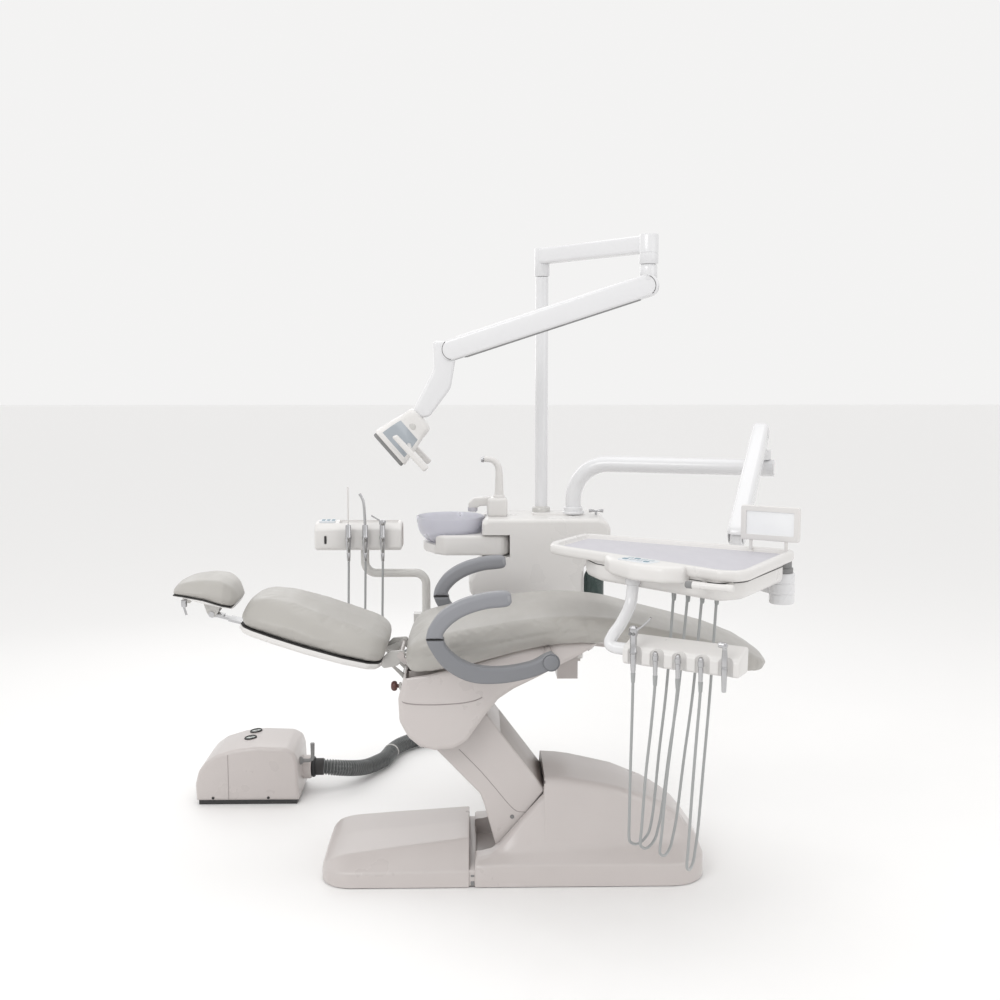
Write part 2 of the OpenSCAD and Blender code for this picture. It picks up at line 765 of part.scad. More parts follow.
module headrest_cushion() {
  side = [
    [-1044, 884], [-1036, 902], [-1005, 918], [-927, 925], [-870, 913], [-848, 890], [-842, 862], [-850, 838],
    [-878, 848], [-938, 869], [-1004, 880], [-1038, 879]
  ];
  color("antiquewhite") intersection() {
    side_slab(side, -140, 140);
    linear_extrude(1000) mirrored_plan(head_plan);
  }
}

// Headrest shell with the two lugs and the pin of its hinge
module headrest_shell() {
  side = [
    [-1034, 878], [-1004, 879], [-938, 868], [-878, 847], [-854, 837], [-860, 826], [-885, 834], [-938, 852],
    [-1000, 864], [-1028, 869]
  ];
  color("linen") {
    intersection() {
      side_slab(side, -140, 140);
      linear_extrude(1000) mirrored_plan([for (q = head_plan) [q[0], q[1] - 10]]);
    }
    for (y0 = [-31, 22]) {
      side_slab([[-962, 860], [-946, 800], [-925, 798], [-908, 846]], y0, y0 + 9);
      y_pin(head_pin, 12, y0, y0 + 9);
    }
    y_pin(head_pin, 6, -25, 25);
    // Locking lever under the left part
    translate([-1004, -70, 842]) cylinder(r = 9, h = 26);
    translate([-990, -76, 830]) cube([14, 12, 34]);
  }
}

// ---------- operating light ----------

light_deg = atan2(light_elbow[1] - pole_at[1], light_elbow[0] - pole_at[0]);
light_l = norm(light_elbow - pole_at);

module light_arm() {
  color("white") difference() {
    union() {
      heading([pole_at[0], pole_at[1], 0], light_deg) {
        translate([0, -24, pole_top + 5]) cube([light_l, 48, 56]);
        translate([0, 0, pole_top - 38]) cylinder(r = 26, h = 99);
        translate([light_l, 0, pole_top - 30]) cylinder(r = 30, h = 95);
      }
    }
    translate([pole_at[0], pole_at[1], pole_top - 50]) cylinder(r = 13 + run, h = 52);
    translate([light_elbow[0], light_elbow[1], pole_top - 50]) cylinder(r = 12 + run, h = 70);
  }
}

boom_v = boom_high - boom_low;
boom_deg = atan2(boom_v[1], boom_v[0]);
boom_l = norm(boom_v);
boom_rise = asin(boom_v[2] / boom_l);

module light_knuckle() {
  color("white") {
    translate([light_elbow[0], light_elbow[1], 1862]) cylinder(r = 12, h = 75);
    translate([light_elbow[0], light_elbow[1], 1868]) cylinder(r = 28, h = 26.5);
    heading(boom_high, boom_deg) mirror([0, 0, 1]) tongue(44, 42, 42);
  }
}

// Spring-balanced boom: channel open above at both ends, for the two tongues
module light_boom() {
  color("white") heading(boom_low, boom_deg) rotate([0, -boom_rise, 0]) mirror([0, 0, 1])
    channel_arm(boom_l, 74, 54, 5);
}

module light_yoke() {
  color("white") {
    heading(boom_low, boom_deg) {
      mirror([0, 0, 1]) tongue(44, 42, 48);
      translate([-60, -20, 30]) cube([66, 40, 20]);
      translate([-60, -20, -96]) cube([20, 40, 146]);
    }
    bar([-246, 290, 1530], lamp_pin + [34, 0, 62], 17);
    bar([-246, 290, 1530], [-246, 290, 1560], 17);
    y_pin([lamp_pin[0], lamp_pin[2]], 9, lamp_pin[1] - 49, lamp_pin[1] + 49);
    y_pin([lamp_pin[0], lamp_pin[2]], 20, lamp_pin[1] - 30, lamp_pin[1] + 30);
    bar(lamp_pin + [34, 0, 62], lamp_pin, 14);
  }
}

// Lamp: a wedge that widens to its shallow lens, with the two grips
module lamp_head() {
  mid = lamp_pin[1];
  color("white") {
    difference() {
      hull() {
        side_slab([[-448, 1360], [-444, 1340], [-372, 1250], [-344, 1246]], mid - 105, mid + 105);
        side_slab([[-362, 1388], [-340, 1392], [-316, 1340], [-330, 1300], [-400, 1350]], mid - 50, mid + 50);
      }
      y_pin([lamp_pin[0], lamp_pin[2]], 36, mid - 51, mid + 51);
    }
    for (y0 = [mid - 50, mid + 36]) difference() {
      side_slab([[-380, 1345], [-330, 1396], [-306, 1396], [-296, 1380], [-300, 1352], [-350, 1316]], y0, y0 + 14);
      y_pin([lamp_pin[0], lamp_pin[2]], 9 + run, y0 - 1, y0 + 15);
    }
    for (s = [-1, 1]) {
      translate([-376, mid + s * 112 - 18, 1296]) cube([20, 36, 18]);
      bar([-372, mid + s * 138, 1322], [-275, mid + s * 138, 1236], 11);
    }
  }
}

// ---------- delivery arm ----------

tube_v = [tube_end[0] - tube_at[0], tube_end[1] - tube_at[1]];
tube_deg = atan2(tube_v[1], tube_v[0]);
tube_l = norm(tube_v);
tube_bend = 130;

module delivery_tube() {
  color("white") heading([tube_at[0], tube_at[1], 0], tube_deg) {
    translate([0, 0, 984]) cylinder(r = deliv_r - 3, h = tower_top - 964);
    pipe([0, 0, tower_top + 0.4], [0, 0, tube_end[2] - tube_bend], deliv_r, 4);
    translate([0, 0, tube_end[2] - tube_bend]) up_bend(tube_bend, deliv_r, 4);
    pipe([tube_bend, 0, tube_end[2]], [tube_l - 30, 0, tube_end[2]], deliv_r, 4);
    difference() {
      translate([tube_l - 44, 0, tube_end[2]]) rotate([0, 90, 0]) cylinder(r = deliv_r + 1, h = 82);
      translate([tube_l, 0, tube_end[2] - 18]) cylinder(r = 14 + run, h = 80);
    }
  }
}

arm_v = arm_low - arm_high;
arm_deg = atan2(arm_v[1], arm_v[0]);
arm_l = norm(arm_v);
arm_drop = asin(-arm_v[2] / arm_l);

module delivery_yoke() {
  color("white") {
    translate([tube_end[0], tube_end[1], 1206]) cylinder(r = 14, h = 44);
    translate([tube_end[0], tube_end[1], tube_end[2] + deliv_r + 1.4]) cylinder(r = 26, h = 33);
    heading(arm_high, arm_deg) tongue(48, 42, 72);
  }
}

module delivery_boom() {
  color("white") heading(arm_high, arm_deg) rotate([0, arm_drop, 0]) channel_arm(arm_l, 72, 54, 5);
}

// Knuckle under the boom's lower end and the socket that the tray turns in
module tray_hub() {
  reach = [hub_at[0] - arm_low[0], hub_at[1] - arm_low[1]];
  color("white") {
    heading(arm_low, arm_deg) tongue(48, 42, 150);
    heading([arm_low[0], arm_low[1], 902], atan2(reach[1], reach[0])) translate([-20, -21, 0]) cube([norm(reach), 42, 36]);
    difference() {
      translate([hub_at[0], hub_at[1], 878]) cylinder(r = 37, h = 92);
      translate([hub_at[0], hub_at[1], 900]) cylinder(r = 16 + run, h = 80);
    }
  }
}

// ---------- tray ----------

tray_plan = [
  [-tray_l / 2 + 30, 0], [tray_l / 2 - 45, 0], [tray_l / 2 - 12, -14], [tray_l / 2, -50], [tray_l / 2 - 4, -tray_d2 + 60],
  [tray_l / 2 - 25, -tray_d2 + 15], [tray_l / 2 - 75, -tray_d2], [-tray_l / 2 + 80, -tray_d1 - 18],
  [-tray_l / 2 + 22, -tray_d1 + 10], [-tray_l / 2, -tray_d1 + 65], [-tray_l / 2, -40], [-tray_l / 2 + 8, -12]
];

// Outline of the body below the tray's rim
tray_low = [
  [-200, -60], [290, -60], [tray_l / 2 - 20, -80], [tray_l / 2 - 30, -380], [270, -tray_d2 + 22],
  [-120, -tray_d1 - 42], [-230, -tray_d1]
];

// Tray: rim, recessed floor, the body below it and the keypad's console
module tray() {
  console = [[-215, -290], [70, -370], [60, -420], [0, -452], [-90, -446], [-180, -392], [-225, -330]];
  color("white") {
    on_tray() {
      difference() {
        union() {
          translate([0, 0, tray_top - 28]) linear_extrude(28) polygon(tray_plan);
          translate([0, 0, 950]) linear_extrude(72) polygon(tray_low);
          translate([0, 0, 985]) linear_extrude(44) polygon(console);
        }
        difference() {
          translate([0, 0, tray_top - 14]) linear_extrude(20) offset(delta = -24) polygon(tray_plan);
          translate([0, 0, 900]) linear_extrude(200) offset(delta = 12) polygon(console);
        }
        // Room for the valves, and the recesses that the hoses come out of
        difference() {
          translate([0, 0, 959]) linear_extrude(48) offset(delta = -5) polygon(tray_low);
          translate([0, 0, 900]) linear_extrude(200) offset(delta = 1) polygon(console);
        }
        for (x = tray_out_x) translate([x, out_y, 944]) cylinder(r = 5, h = out_z - 944);
      }
    }
    translate([hub_at[0], hub_at[1], 904]) cylinder(r = 16, h = 116);
    translate([hub_at[0], hub_at[1], 971]) cylinder(r = 34, h = 45);
  }
}

module tray_handle() {
  color("white") on_tray() {
    bar([92, -488, 988], [262, -488, 988], 11);
    difference() {
      for (x = [110, 240]) bar([x, -488, 988], [x, -380, 988], 8);
      translate([0, 0, 950]) linear_extrude(72) polygon(tray_low);
    }
  }
}

// X-ray viewer on two posts at the tray's back corner
module viewer_frame() {
  color("white") on_tray() difference() {
    union() {
      translate([150, -38, 1058]) cube([176, 14, 100]);
      for (x = [175, 300]) translate([x, -35, tray_top - 14]) cylinder(r = 5, h = 34);
    }
    translate([162, -50, 1070]) cube([152, 40, 76]);
  }
}

// Bent tube that hangs the holder under the tray
module holder_tube() {
  a = tray_world([26, -350, 950]);
  b = tray_world([26, -350, 896]);
  c = tray_world([-14, -484, 806]);
  d = tray_world([25, -484, 806]);
  color("white") {
    bar(a, b, 15);
    translate(b) sphere(17);
    bar(b, c, 15);
    translate(c) sphere(17);
    bar(c, d, 15);
  }
}

module tool_holder() {
  side = [[-445, 848], [-520, 820], [-524, 812], [-524, 776], [-518, 772], [-450, 772]];
  color("linen") on_tray() difference() {
    translate([25, 0, 0]) rotate([90, 0, 90]) linear_extrude(330) polygon(side);
    for (i = [0 : 4]) {
      translate([slot_x(i), rest_y, 760]) cylinder(r = 17, h = 100);
      translate([slot_x(i), -512, 760]) cylinder(r = 9, h = 100);
    }
  }
}

// Five instruments: a syringe, three turbine couplings and a handpiece
module tray_tools() {
  color("gainsboro") on_tray() {
    for (i = [0 : 3]) {
      translate([slot_x(i), rest_y, tail_z]) cylinder(r1 = 5, r2 = 7, h = 40);
      translate([slot_x(i), rest_y, 790]) cylinder(r = 8, h = i == 0 ? 70 : 34);
    }
    translate([slot_x(0), rest_y, 866]) sphere(12);
    bar([slot_x(0), rest_y, 866], [slot_x(0) + 54, rest_y - 10, 912], 3);
    translate([slot_x(4), rest_y, 735]) cylinder(r1 = 6, r2 = 8, h = 60);
    translate([slot_x(4), rest_y, 793]) cylinder(r1 = 8, r2 = 6, h = 55);
    bar([slot_x(4) - 12, rest_y, 858], [slot_x(4) + 6, rest_y, 856], 8);
    translate([slot_x(4), rest_y, 846]) cylinder(r = 6, h = 10);
  }
}

module tray_hose(i) {
  color("darkgray") hose(loop_route(i), 4, tray_world([1, 0.3, 0]) - tray_world([0, 0, 0]), 8, 3);
}

module tray_hose_1() { tray_hose(0); }
module tray_hose_2() { tray_hose(1); }
module tray_hose_3() { tray_hose(2); }
module tray_hose_4() { tray_hose(3); }

// ---------- assistant's unit ----------

module assistant_arm() {
  x0 = assist_at[0];
  y0 = assist_at[1];
  color("lightgray") {
    translate([x0, y0, 577]) cylinder(r = assist_r, h = 225);
    translate([x0, y0, 656.5]) cylinder(r = 20, h = 8);
    translate([-334, y0 - 22, 668]) cube([44, 44, 30]);
    translate([x0, y0, 802]) rotate([0, 0, 180]) up_bend(40, assist_r, 3);
    pipe([x0 - 40, y0, 842], [-465, y0, 842], assist_r, 3);
    translate([-505, y0, 882]) mirror([0, 0, 1]) up_bend(40, assist_r, 3);
    translate([-505, y0, 882]) cylinder(r = assist_r, h = 44);
  }
}

// Holder with a keypad at its left end, a channel for the instruments and their three slots
module assistant_holder() {
  side = [[470, 1022], [448, 1004], [444, 940], [456, 930], [540, 930], [552, 950], [550, 1010], [530, 1028], [500, 1028]];
  color("white") difference() {
    translate([-676, 0, 0]) rotate([90, 0, 90]) linear_extrude(304) polygon(side);
    for (x = tail_x) translate([x, tail_y, 900]) cylinder(r = 24, h = 200);
    translate([-590, 468, 1016]) cube([240, 60, 30]);
  }
}

// Two suction tubes and a syringe
module assistant_tools() {
  color("gainsboro") {
    for (x = tail_x) {
      translate([x, tail_y, 925]) cylinder(r1 = 6, r2 = 9, h = 40);
      translate([x, tail_y, 963]) cylinder(r = 10, h = 62);
    }
    translate([tail_x[0], tail_y, 1024]) cylinder(r = 2.5, h = 132);
    bar([tail_x[1], tail_y, 1024], [tail_x[1] - 4, tail_y, 1105], 5);
    translate([tail_x[1] - 4, tail_y, 1105]) sphere(6);
    bar([tail_x[1] - 4, tail_y, 1105], [tail_x[1] - 18, tail_y, 1132], 4);
    translate([tail_x[2], tail_y, 1030]) sphere(12);
    bar([tail_x[2], tail_y, 1036], [tail_x[2] - 38, tail_y, 1056], 3);
  }
}

module assistant_hose(i) {
  color("darkgray") hose(assist_route(i), 4, [0.2, 1, 0], 8, 3);
}

module assistant_hose_1() { assistant_hose(0); }
module assistant_hose_2() { assistant_hose(1); }
module assistant_hose_3() { assistant_hose(2); }

base_plate();
lift_bracket();
front_cover();
rear_cover();
lift_motor();
box_base();
box_cover();
box_gauges();
valve_lever();
supply_hose();
lift_arm();
arm_cover();
upper_link();
seat_frame();
seat_casing();
seat_cushion();
release_knob();
tower_body();
flow_knob();
light_pole();
water_bottle();
faucet_block();
near_armrest_bracket();
near_armrest_pad();
far_armrest_bracket();
far_armrest_pad();
backrest_frame();
backrest_shell();
backrest_cushion();
headrest_bar();
headrest_shell();
headrest_cushion();
bowl_pod();
bowl();
cup_filler();
light_arm();
light_knuckle();
light_boom();
light_yoke();
lamp_head();
delivery_tube();
delivery_yoke();
delivery_boom();
tray_hub();
tray();
tray_handle();
viewer_frame();
holder_tube();
tool_holder();
tray_tools();
tray_hose_1();
tray_hose_2();
tray_hose_3();
tray_hose_4();
assistant_arm();
assistant_holder();
assistant_tools();
assistant_hose_1();
assistant_hose_2();
assistant_hose_3();
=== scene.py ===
"""Looks of a dental chair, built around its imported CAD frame. Lengths in this script are millimetres."""
import json
import math

import bmesh
import bpy
from mathutils import Matrix, Vector


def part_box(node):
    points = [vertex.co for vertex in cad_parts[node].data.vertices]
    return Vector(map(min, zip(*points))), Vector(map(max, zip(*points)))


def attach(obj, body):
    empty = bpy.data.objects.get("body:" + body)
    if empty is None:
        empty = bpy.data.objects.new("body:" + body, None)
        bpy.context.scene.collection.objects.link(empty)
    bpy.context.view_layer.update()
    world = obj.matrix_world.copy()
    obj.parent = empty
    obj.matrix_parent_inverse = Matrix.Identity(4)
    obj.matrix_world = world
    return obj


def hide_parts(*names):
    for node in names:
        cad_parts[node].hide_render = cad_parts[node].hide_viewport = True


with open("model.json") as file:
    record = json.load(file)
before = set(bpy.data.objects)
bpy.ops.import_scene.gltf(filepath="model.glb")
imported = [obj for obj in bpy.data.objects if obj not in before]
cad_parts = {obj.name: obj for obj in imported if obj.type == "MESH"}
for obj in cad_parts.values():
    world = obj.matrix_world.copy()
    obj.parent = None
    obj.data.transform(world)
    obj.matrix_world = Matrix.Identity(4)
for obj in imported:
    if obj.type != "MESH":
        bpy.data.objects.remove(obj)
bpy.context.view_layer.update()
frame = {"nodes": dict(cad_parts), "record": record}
MM = 0.001
scene = bpy.context.scene


# ---------- mesh helpers: each returns (points, faces) ----------

SIDES = ((-1, "near"), (1, "far"))


def edges_mm(node):
    """Lowest and highest corner of a CAD node."""
    lo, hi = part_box(node)
    return Vector(lo) / MM, Vector(hi) / MM


def fillet(points, radius, steps=5):
    """Closed outline with every corner turned into a curve; radius is one number or one for each corner."""
    out = []
    for i, p in enumerate(points):
        r = radius[i] if isinstance(radius, (list, tuple)) else radius
        a, b, c = Vector(points[i - 1]), Vector(p), Vector(points[(i + 1) % len(points)])
        u, v = a - b, c - b
        room = 0.48 * min(u.length, v.length)
        half = u.angle(v, math.pi) / 2
        d = min(r / max(math.tan(half), 0.05), room)
        start, end = b + u.normalized() * d, b + v.normalized() * d
        for k in range(steps + 1):
            t = k / steps
            out.append(tuple((1 - t) ** 2 * start + 2 * t * (1 - t) * b + t * t * end))
    return out


def crossing(p, u, q, v):
    """Where the line through p along u meets the line through q along v."""
    area = u.x * v.y - u.y * v.x
    if abs(area) < 1e-6:
        return (p + q) / 2
    return p + u * (((q.x - p.x) * v.y - (q.y - p.y) * v.x) / area)


def inset(outline, d):
    """Outline moved inwards by d. Corners rounder than d close up to a point instead of turning over."""
    count = len(outline)
    points = [Vector((p[0], p[1])) for p in outline]
    if abs(d) < 1e-9:
        return [tuple(p) for p in points]
    area = sum(p.x * q.y - q.x * p.y for p, q in zip(points, points[1:] + points[:1]))
    turn = d if area > 0 else -d
    ways = []
    for i, p in enumerate(points):
        step = points[(i + 1) % count] - p
        ways.append(step.normalized() if step.length > 1e-6 else (ways[-1] if ways else Vector((1, 0))))
    moved = []
    for i, p in enumerate(points):
        n = Vector((-ways[i - 1].y - ways[i].y, ways[i - 1].x + ways[i].x))
        n = n.normalized() if n.length > 1e-6 else Vector((-ways[i].y, ways[i].x))
        lean = max(n.dot(Vector((-ways[i].y, ways[i].x))), 0.5)
        moved.append(p + n * (turn / lean))
    bad = [False] * count
    for _ in range(12):
        fresh = [not bad[i] and (moved[(i + 1) % count] - moved[i]).dot(ways[i]) < -1e-7
            for i in range(count)]
        if not any(fresh) or all(bad):
            break
        bad = [x or y for x, y in zip(bad, fresh)]
        for i in range(count):
            if bad[i] and not bad[i - 1]:
                last = i
                while bad[(last + 1) % count] and last - i < count:
                    last += 1
                after = (last + 1) % count
                offset = [Vector((-ways[k].y, ways[k].x)) * turn for k in (i - 1, after)]
                corner = crossing(points[i - 1] + offset[0], ways[i - 1], points[after] + offset[1],
                    ways[after])
                for k in range(i, last + 2):
                    moved[k % count] = corner
    return [tuple(p) for p in moved]


def loft(rings):
    """Skin through rings of equal length, with a face over each end."""
    n, count = len(rings[0]), len(rings)
    points = [tuple(p) for ring in rings for p in ring]
    faces = []
    for i in range(count - 1):
        j = i + 1
        for k in range(n):
            m = (k + 1) % n
            faces.append((i * n + k, i * n + m, j * n + m, j * n + k))
    faces.append(tuple(reversed(range(n))))
    faces.append(tuple(range((count - 1) * n, count * n)))
    return points, faces


THIN_SIDES = 8
PLACE = {
    "x": lambda u, v, w: (w, u, v),
    "y": lambda u, v, w: (u, w, v),
    "z": lambda u, v, w: (u, v, w),
}


def slab(outline, lo, hi, edge, axis="y", steps=4):
    """Outline pulled from lo to hi along axis, with its two rims rounded to edge."""
    place = PLACE[axis]
    first, last = [], []
    for k in range(steps + 1):
        a = math.pi / 2 * k / steps
        ring = inset(outline, edge * (1 - math.sin(a)))
        rise = edge * (1 - math.cos(a))
        first.append([place(u, v, lo + rise) for u, v in ring])
        last.append([place(u, v, hi - rise) for u, v in ring])
    return loft(first + last[::-1])


def stack(outline, levels):
    """Outline drawn at several (inset, level) pairs and skinned."""
    return loft([[(x, y, z) for x, y in inset(outline, d)] for d, z in levels])


AXES = {"x": (1, 0, 0), "-x": (-1, 0, 0), "y": (0, 1, 0), "-y": (0, -1, 0)}


def lathe(profile, at, axis="z", sides=48):
    """(radius, height) profile turned about an axis through at."""
    rings = []
    for r, h in profile:
        ring = [Vector((r * math.cos(2 * math.pi * k / sides), r * math.sin(2 * math.pi * k / sides), h))
            for k in range(sides)]
        rings.append([tuple(Vector(at) + turned(p, axis)) for p in ring])
    return loft(rings)


def turned(p, axis):
    """A point of a shape along +Z, turned so that the shape lies along axis, which may be a vector."""
    if axis == "z":
        return p
    goal = Vector(AXES[axis] if isinstance(axis, str) else axis)
    return Vector((0, 0, 1)).rotation_difference(goal) @ p


def curve(points, n=8):
    """Smooth curve through points, with n steps between them."""
    out = []
    last = len(points) - 1
    for i in range(last):
        a, b = Vector(points[max(i - 1, 0)]), Vector(points[i])
        c, d = Vector(points[i + 1]), Vector(points[min(i + 2, last)])
        for k in range(n):
            t = k / n
            out.append(0.5 * (2 * b + (c - a) * t + (2 * a - 5 * b + 4 * c - d) * t * t
                + (3 * b - a - 3 * c + d) * t ** 3))
    return out + [Vector(points[last])]


def tube(path, radius, sides=12):
    """Round tube along a path; radius is one number or one for each point."""
    path = [Vector(p) for p in path]
    tangents = [(path[min(i + 1, len(path) - 1)] - path[max(i - 1, 0)]).normalized()
        for i in range(len(path))]
    side = tangents[0].orthogonal().normalized()
    rings = []
    for i, (p, t) in enumerate(zip(path, tangents)):
        if i:
            side = (tangents[i - 1].rotation_difference(t) @ side)
        side = (side - side.dot(t) * t).normalized()
        up = t.cross(side)
        r = radius[i] if isinstance(radius, (list, tuple)) else radius
        rings.append([tuple(p + r * (math.cos(2 * math.pi * k / sides) * side
            + math.sin(2 * math.pi * k / sides) * up)) for k in range(sides)])
    return loft(rings)


def block(lo, hi, edge, corner=None):
    """Box from lo to hi, with rounded upright corners and rims."""
    outline = fillet([(lo[0], lo[1]), (hi[0], lo[1]), (hi[0], hi[1]), (lo[0], hi[1])], corner or edge)
    return slab(outline, lo[2], hi[2], edge, "z")


def merge(*parts):
    """Several meshes as one."""
    points, faces = [], []
    for more, polygons in parts:
        start = len(points)
        points += more
        faces += [tuple(i + start for i in f) for f in polygons]
    return points, faces


def table(rows, x):
    """Value at x of a table of (x, value) rows, straight between them."""
    if x <= rows[0][0]:
        return rows[0][1]
    for (a, p), (b, q) in zip(rows, rows[1:]):
        if x <= b:
            return p + (q - p) * (x - a) / (b - a)
    return rows[-1][1]


def mirrored(points):
    """Half outline closed by its mirror image across the middle."""
    return points + [(x, -y) for x, y in reversed(points)]


def heading(at, degrees):
    """Matrix, in metres, of a frame at a point in millimetres, turned about the vertical."""
    return Matrix.Translation(Vector(at) * MM) @ Matrix.Rotation(math.radians(degrees), 4, "Z")


# ---------- objects ----------

SHARP = 38


def make(name, shape, matrix=None, sharp=SHARP):
    """Object from a shape, with smooth shading that breaks at edges sharper than sharp degrees."""
    mesh = bpy.data.meshes.new(name)
    mesh.from_pydata([Vector(p) * MM for p in shape[0]], [], shape[1])
    if matrix is not None:
        mesh.transform(matrix)
    work = bmesh.new()
    work.from_mesh(mesh)
    bmesh.ops.remove_doubles(work, verts=work.verts, dist=1e-6)
    bmesh.ops.dissolve_degenerate(work, edges=work.edges, dist=1e-7)
    bmesh.ops.recalc_face_normals(work, faces=work.faces)
    work.to_mesh(mesh)
    work.free()
    obj = bpy.data.objects.new(name, mesh)
    scene.collection.objects.link(obj)
    shade(obj, sharp)
    return obj


def shade(obj, sharp=SHARP):
    """Smooth shading that breaks at edges sharper than sharp degrees."""
    mesh = obj.data
    mesh.polygons.foreach_set("use_smooth", [True] * len(mesh.polygons))
    mesh.set_sharp_from_angle(angle=math.radians(sharp))


def finish_piece(obj, body, material, replaces=()):
    """Gives an object its look and body, and hides the CAD nodes that it stands for."""
    obj.data.materials.clear()
    obj.data.materials.append(MATERIALS[material])
    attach(obj, body)
    if replaces:
        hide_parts(*replaces)
    return obj


def piece(name, shape, body, material, replaces=(), matrix=None, sharp=SHARP):
    return finish_piece(make(name, shape, matrix, sharp), body, material, replaces)


def apply_modifiers(obj):
    """Turns what the modifiers make into the object's own mesh."""
    graph = bpy.context.evaluated_depsgraph_get()
    mesh = bpy.data.meshes.new_from_object(obj.evaluated_get(graph))
    obj.modifiers.clear()
    old = obj.data
    obj.data = mesh
    bpy.data.meshes.remove(old)


def cut(obj, *shapes, matrix=None):
    """Takes shapes away from an object."""
    tool = make(obj.name + "_cut", merge(*shapes), matrix)
    step = obj.modifiers.new("cut", "BOOLEAN")
    step.operation = "DIFFERENCE"
    step.solver = "EXACT"
    step.use_self = len(shapes) > 1
    step.object = tool
    apply_modifiers(obj)
    bpy.data.objects.remove(tool)
    shade(obj)


# ---------- materials ----------

NOISE_RANGE = 0.3, 0.7
# Pointiness at which an edge starts to take its edge colour and takes it most, and how far its colour then
# goes over; the edge colour is rubbed-edge wear, and on the ribbed hose a painted highlight along the rib
# crests
WEAR_AND_HIGHLIGHT_FROM, WEAR_AND_HIGHLIGHT_TO, WEAR_AND_HIGHLIGHT_MOST = 0.53, 0.66, 0.55


def new_material(name, color, rough, metallic=0.0, coat=0.0):
    """Principled material with its nodes, links and shader."""
    mat = bpy.data.materials.new(name)
    mat.use_nodes = True
    nodes, links = mat.node_tree.nodes, mat.node_tree.links
    shader = nodes["Principled BSDF"]
    shader.inputs["Metallic"].default_value = metallic
    shader.inputs["Roughness"].default_value = rough
    shader.inputs["Coat Weight"].default_value = coat
    shader.inputs["Coat Roughness"].default_value = 0.12
    shader.inputs["Base Color"].default_value = (*color, 1)
    return mat, nodes, links, shader


def add_noise(nodes, links, scale, detail=3.0, stretch=None):
    """Noise in object space, whose units are metres; stretch squeezes it along an axis."""
    place = nodes.new("ShaderNodeTexCoord")
    noise = nodes.new("ShaderNodeTexNoise")
    noise.inputs["Scale"].default_value = scale
    noise.inputs["Detail"].default_value = detail
    source = place.outputs["Object"]
    if stretch:
        mapping = nodes.new("ShaderNodeMapping")
        mapping.inputs["Scale"].default_value = stretch
        links.new(source, mapping.inputs["Vector"])
        source = mapping.outputs["Vector"]
    links.new(source, noise.inputs["Vector"])
    return noise


def vary_gloss(nodes, links, shader, noise, low, high):
    """Roughness spread over a range by a noise."""
    step = nodes.new("ShaderNodeMapRange")
    step.inputs["From Min"].default_value, step.inputs["From Max"].default_value = NOISE_RANGE
    step.inputs["To Min"].default_value, step.inputs["To Max"].default_value = low, high
    links.new(noise.outputs["Fac"], step.inputs["Value"])
    links.new(step.outputs["Result"], shader.inputs["Roughness"])


def vary_color(nodes, links, shader, color, source, amount, edge_wear_and_highlight=None):
    """Base colour that drifts with a noise and, given an edge colour, turns to it along sharp edges:
    rubbed-edge wear, and on the ribbed hose a painted highlight along the rib crests.
    """
    mix = nodes.new("ShaderNodeMix")
    mix.data_type = "RGBA"
    mix.inputs["A"].default_value = (*[c * (1 - amount) for c in color], 1)
    mix.inputs["B"].default_value = (*[min(1, c * (1 + amount)) for c in color], 1)
    links.new(source, mix.inputs["Factor"])
    result = mix.outputs["Result"]
    if edge_wear_and_highlight:
        geometry = nodes.new("ShaderNodeNewGeometry")
        ramp = nodes.new("ShaderNodeValToRGB")
        ramp.color_ramp.elements[0].position = WEAR_AND_HIGHLIGHT_FROM
        ramp.color_ramp.elements[0].color = (0, 0, 0, 1)
        ramp.color_ramp.elements[1].position = WEAR_AND_HIGHLIGHT_TO
        ramp.color_ramp.elements[1].color = (WEAR_AND_HIGHLIGHT_MOST, WEAR_AND_HIGHLIGHT_MOST, WEAR_AND_HIGHLIGHT_MOST, 1)
        wear_and_highlight_mix = nodes.new("ShaderNodeMix")
        wear_and_highlight_mix.data_type = "RGBA"
        wear_and_highlight_mix.inputs["B"].default_value = (*edge_wear_and_highlight, 1)
        links.new(geometry.outputs["Pointiness"], ramp.inputs["Fac"])
        links.new(ramp.outputs["Color"], wear_and_highlight_mix.inputs["Factor"])
        links.new(result, wear_and_highlight_mix.inputs["A"])
        result = wear_and_highlight_mix.outputs["Result"]
    links.new(result, shader.inputs["Base Color"])


def add_bump(nodes, links, shader, source, strength, distance, under=None):
    """Bump, laid over the normal of another bump where under gives one."""
    bump = nodes.new("ShaderNodeBump")
    bump.inputs["Strength"].default_value = strength
    bump.inputs["Distance"].default_value = distance
    links.new(source, bump.inputs["Height"])
    if under:
        links.new(under, bump.inputs["Normal"])
    links.new(bump.outputs["Normal"], shader.inputs["Normal"])
    return bump.outputs["Normal"]


def moulded(name, color, rough=0.32, coat=0.25, drift=0.035, edge_wear_and_highlight=None):
    """Moulded plastic: a slow drift in colour and gloss, faint orange peel, and a colour along sharp edges:
    rubbed edges, and on the ribbed hose a painted highlight along the rib crests.
    """
    mat, nodes, links, shader = new_material(name, color, rough, coat=coat)
    slow = add_noise(nodes, links, 7, 4)
    fine = add_noise(nodes, links, 420, 2)
    vary_color(nodes, links, shader, color, slow.outputs["Fac"], drift,
        edge_wear_and_highlight or [min(1, c * 1.12) for c in color])
    vary_gloss(nodes, links, shader, slow, rough * 0.82, rough * 1.2)
    add_bump(nodes, links, shader, fine.outputs["Fac"], 0.12, 0.0003)
    return mat


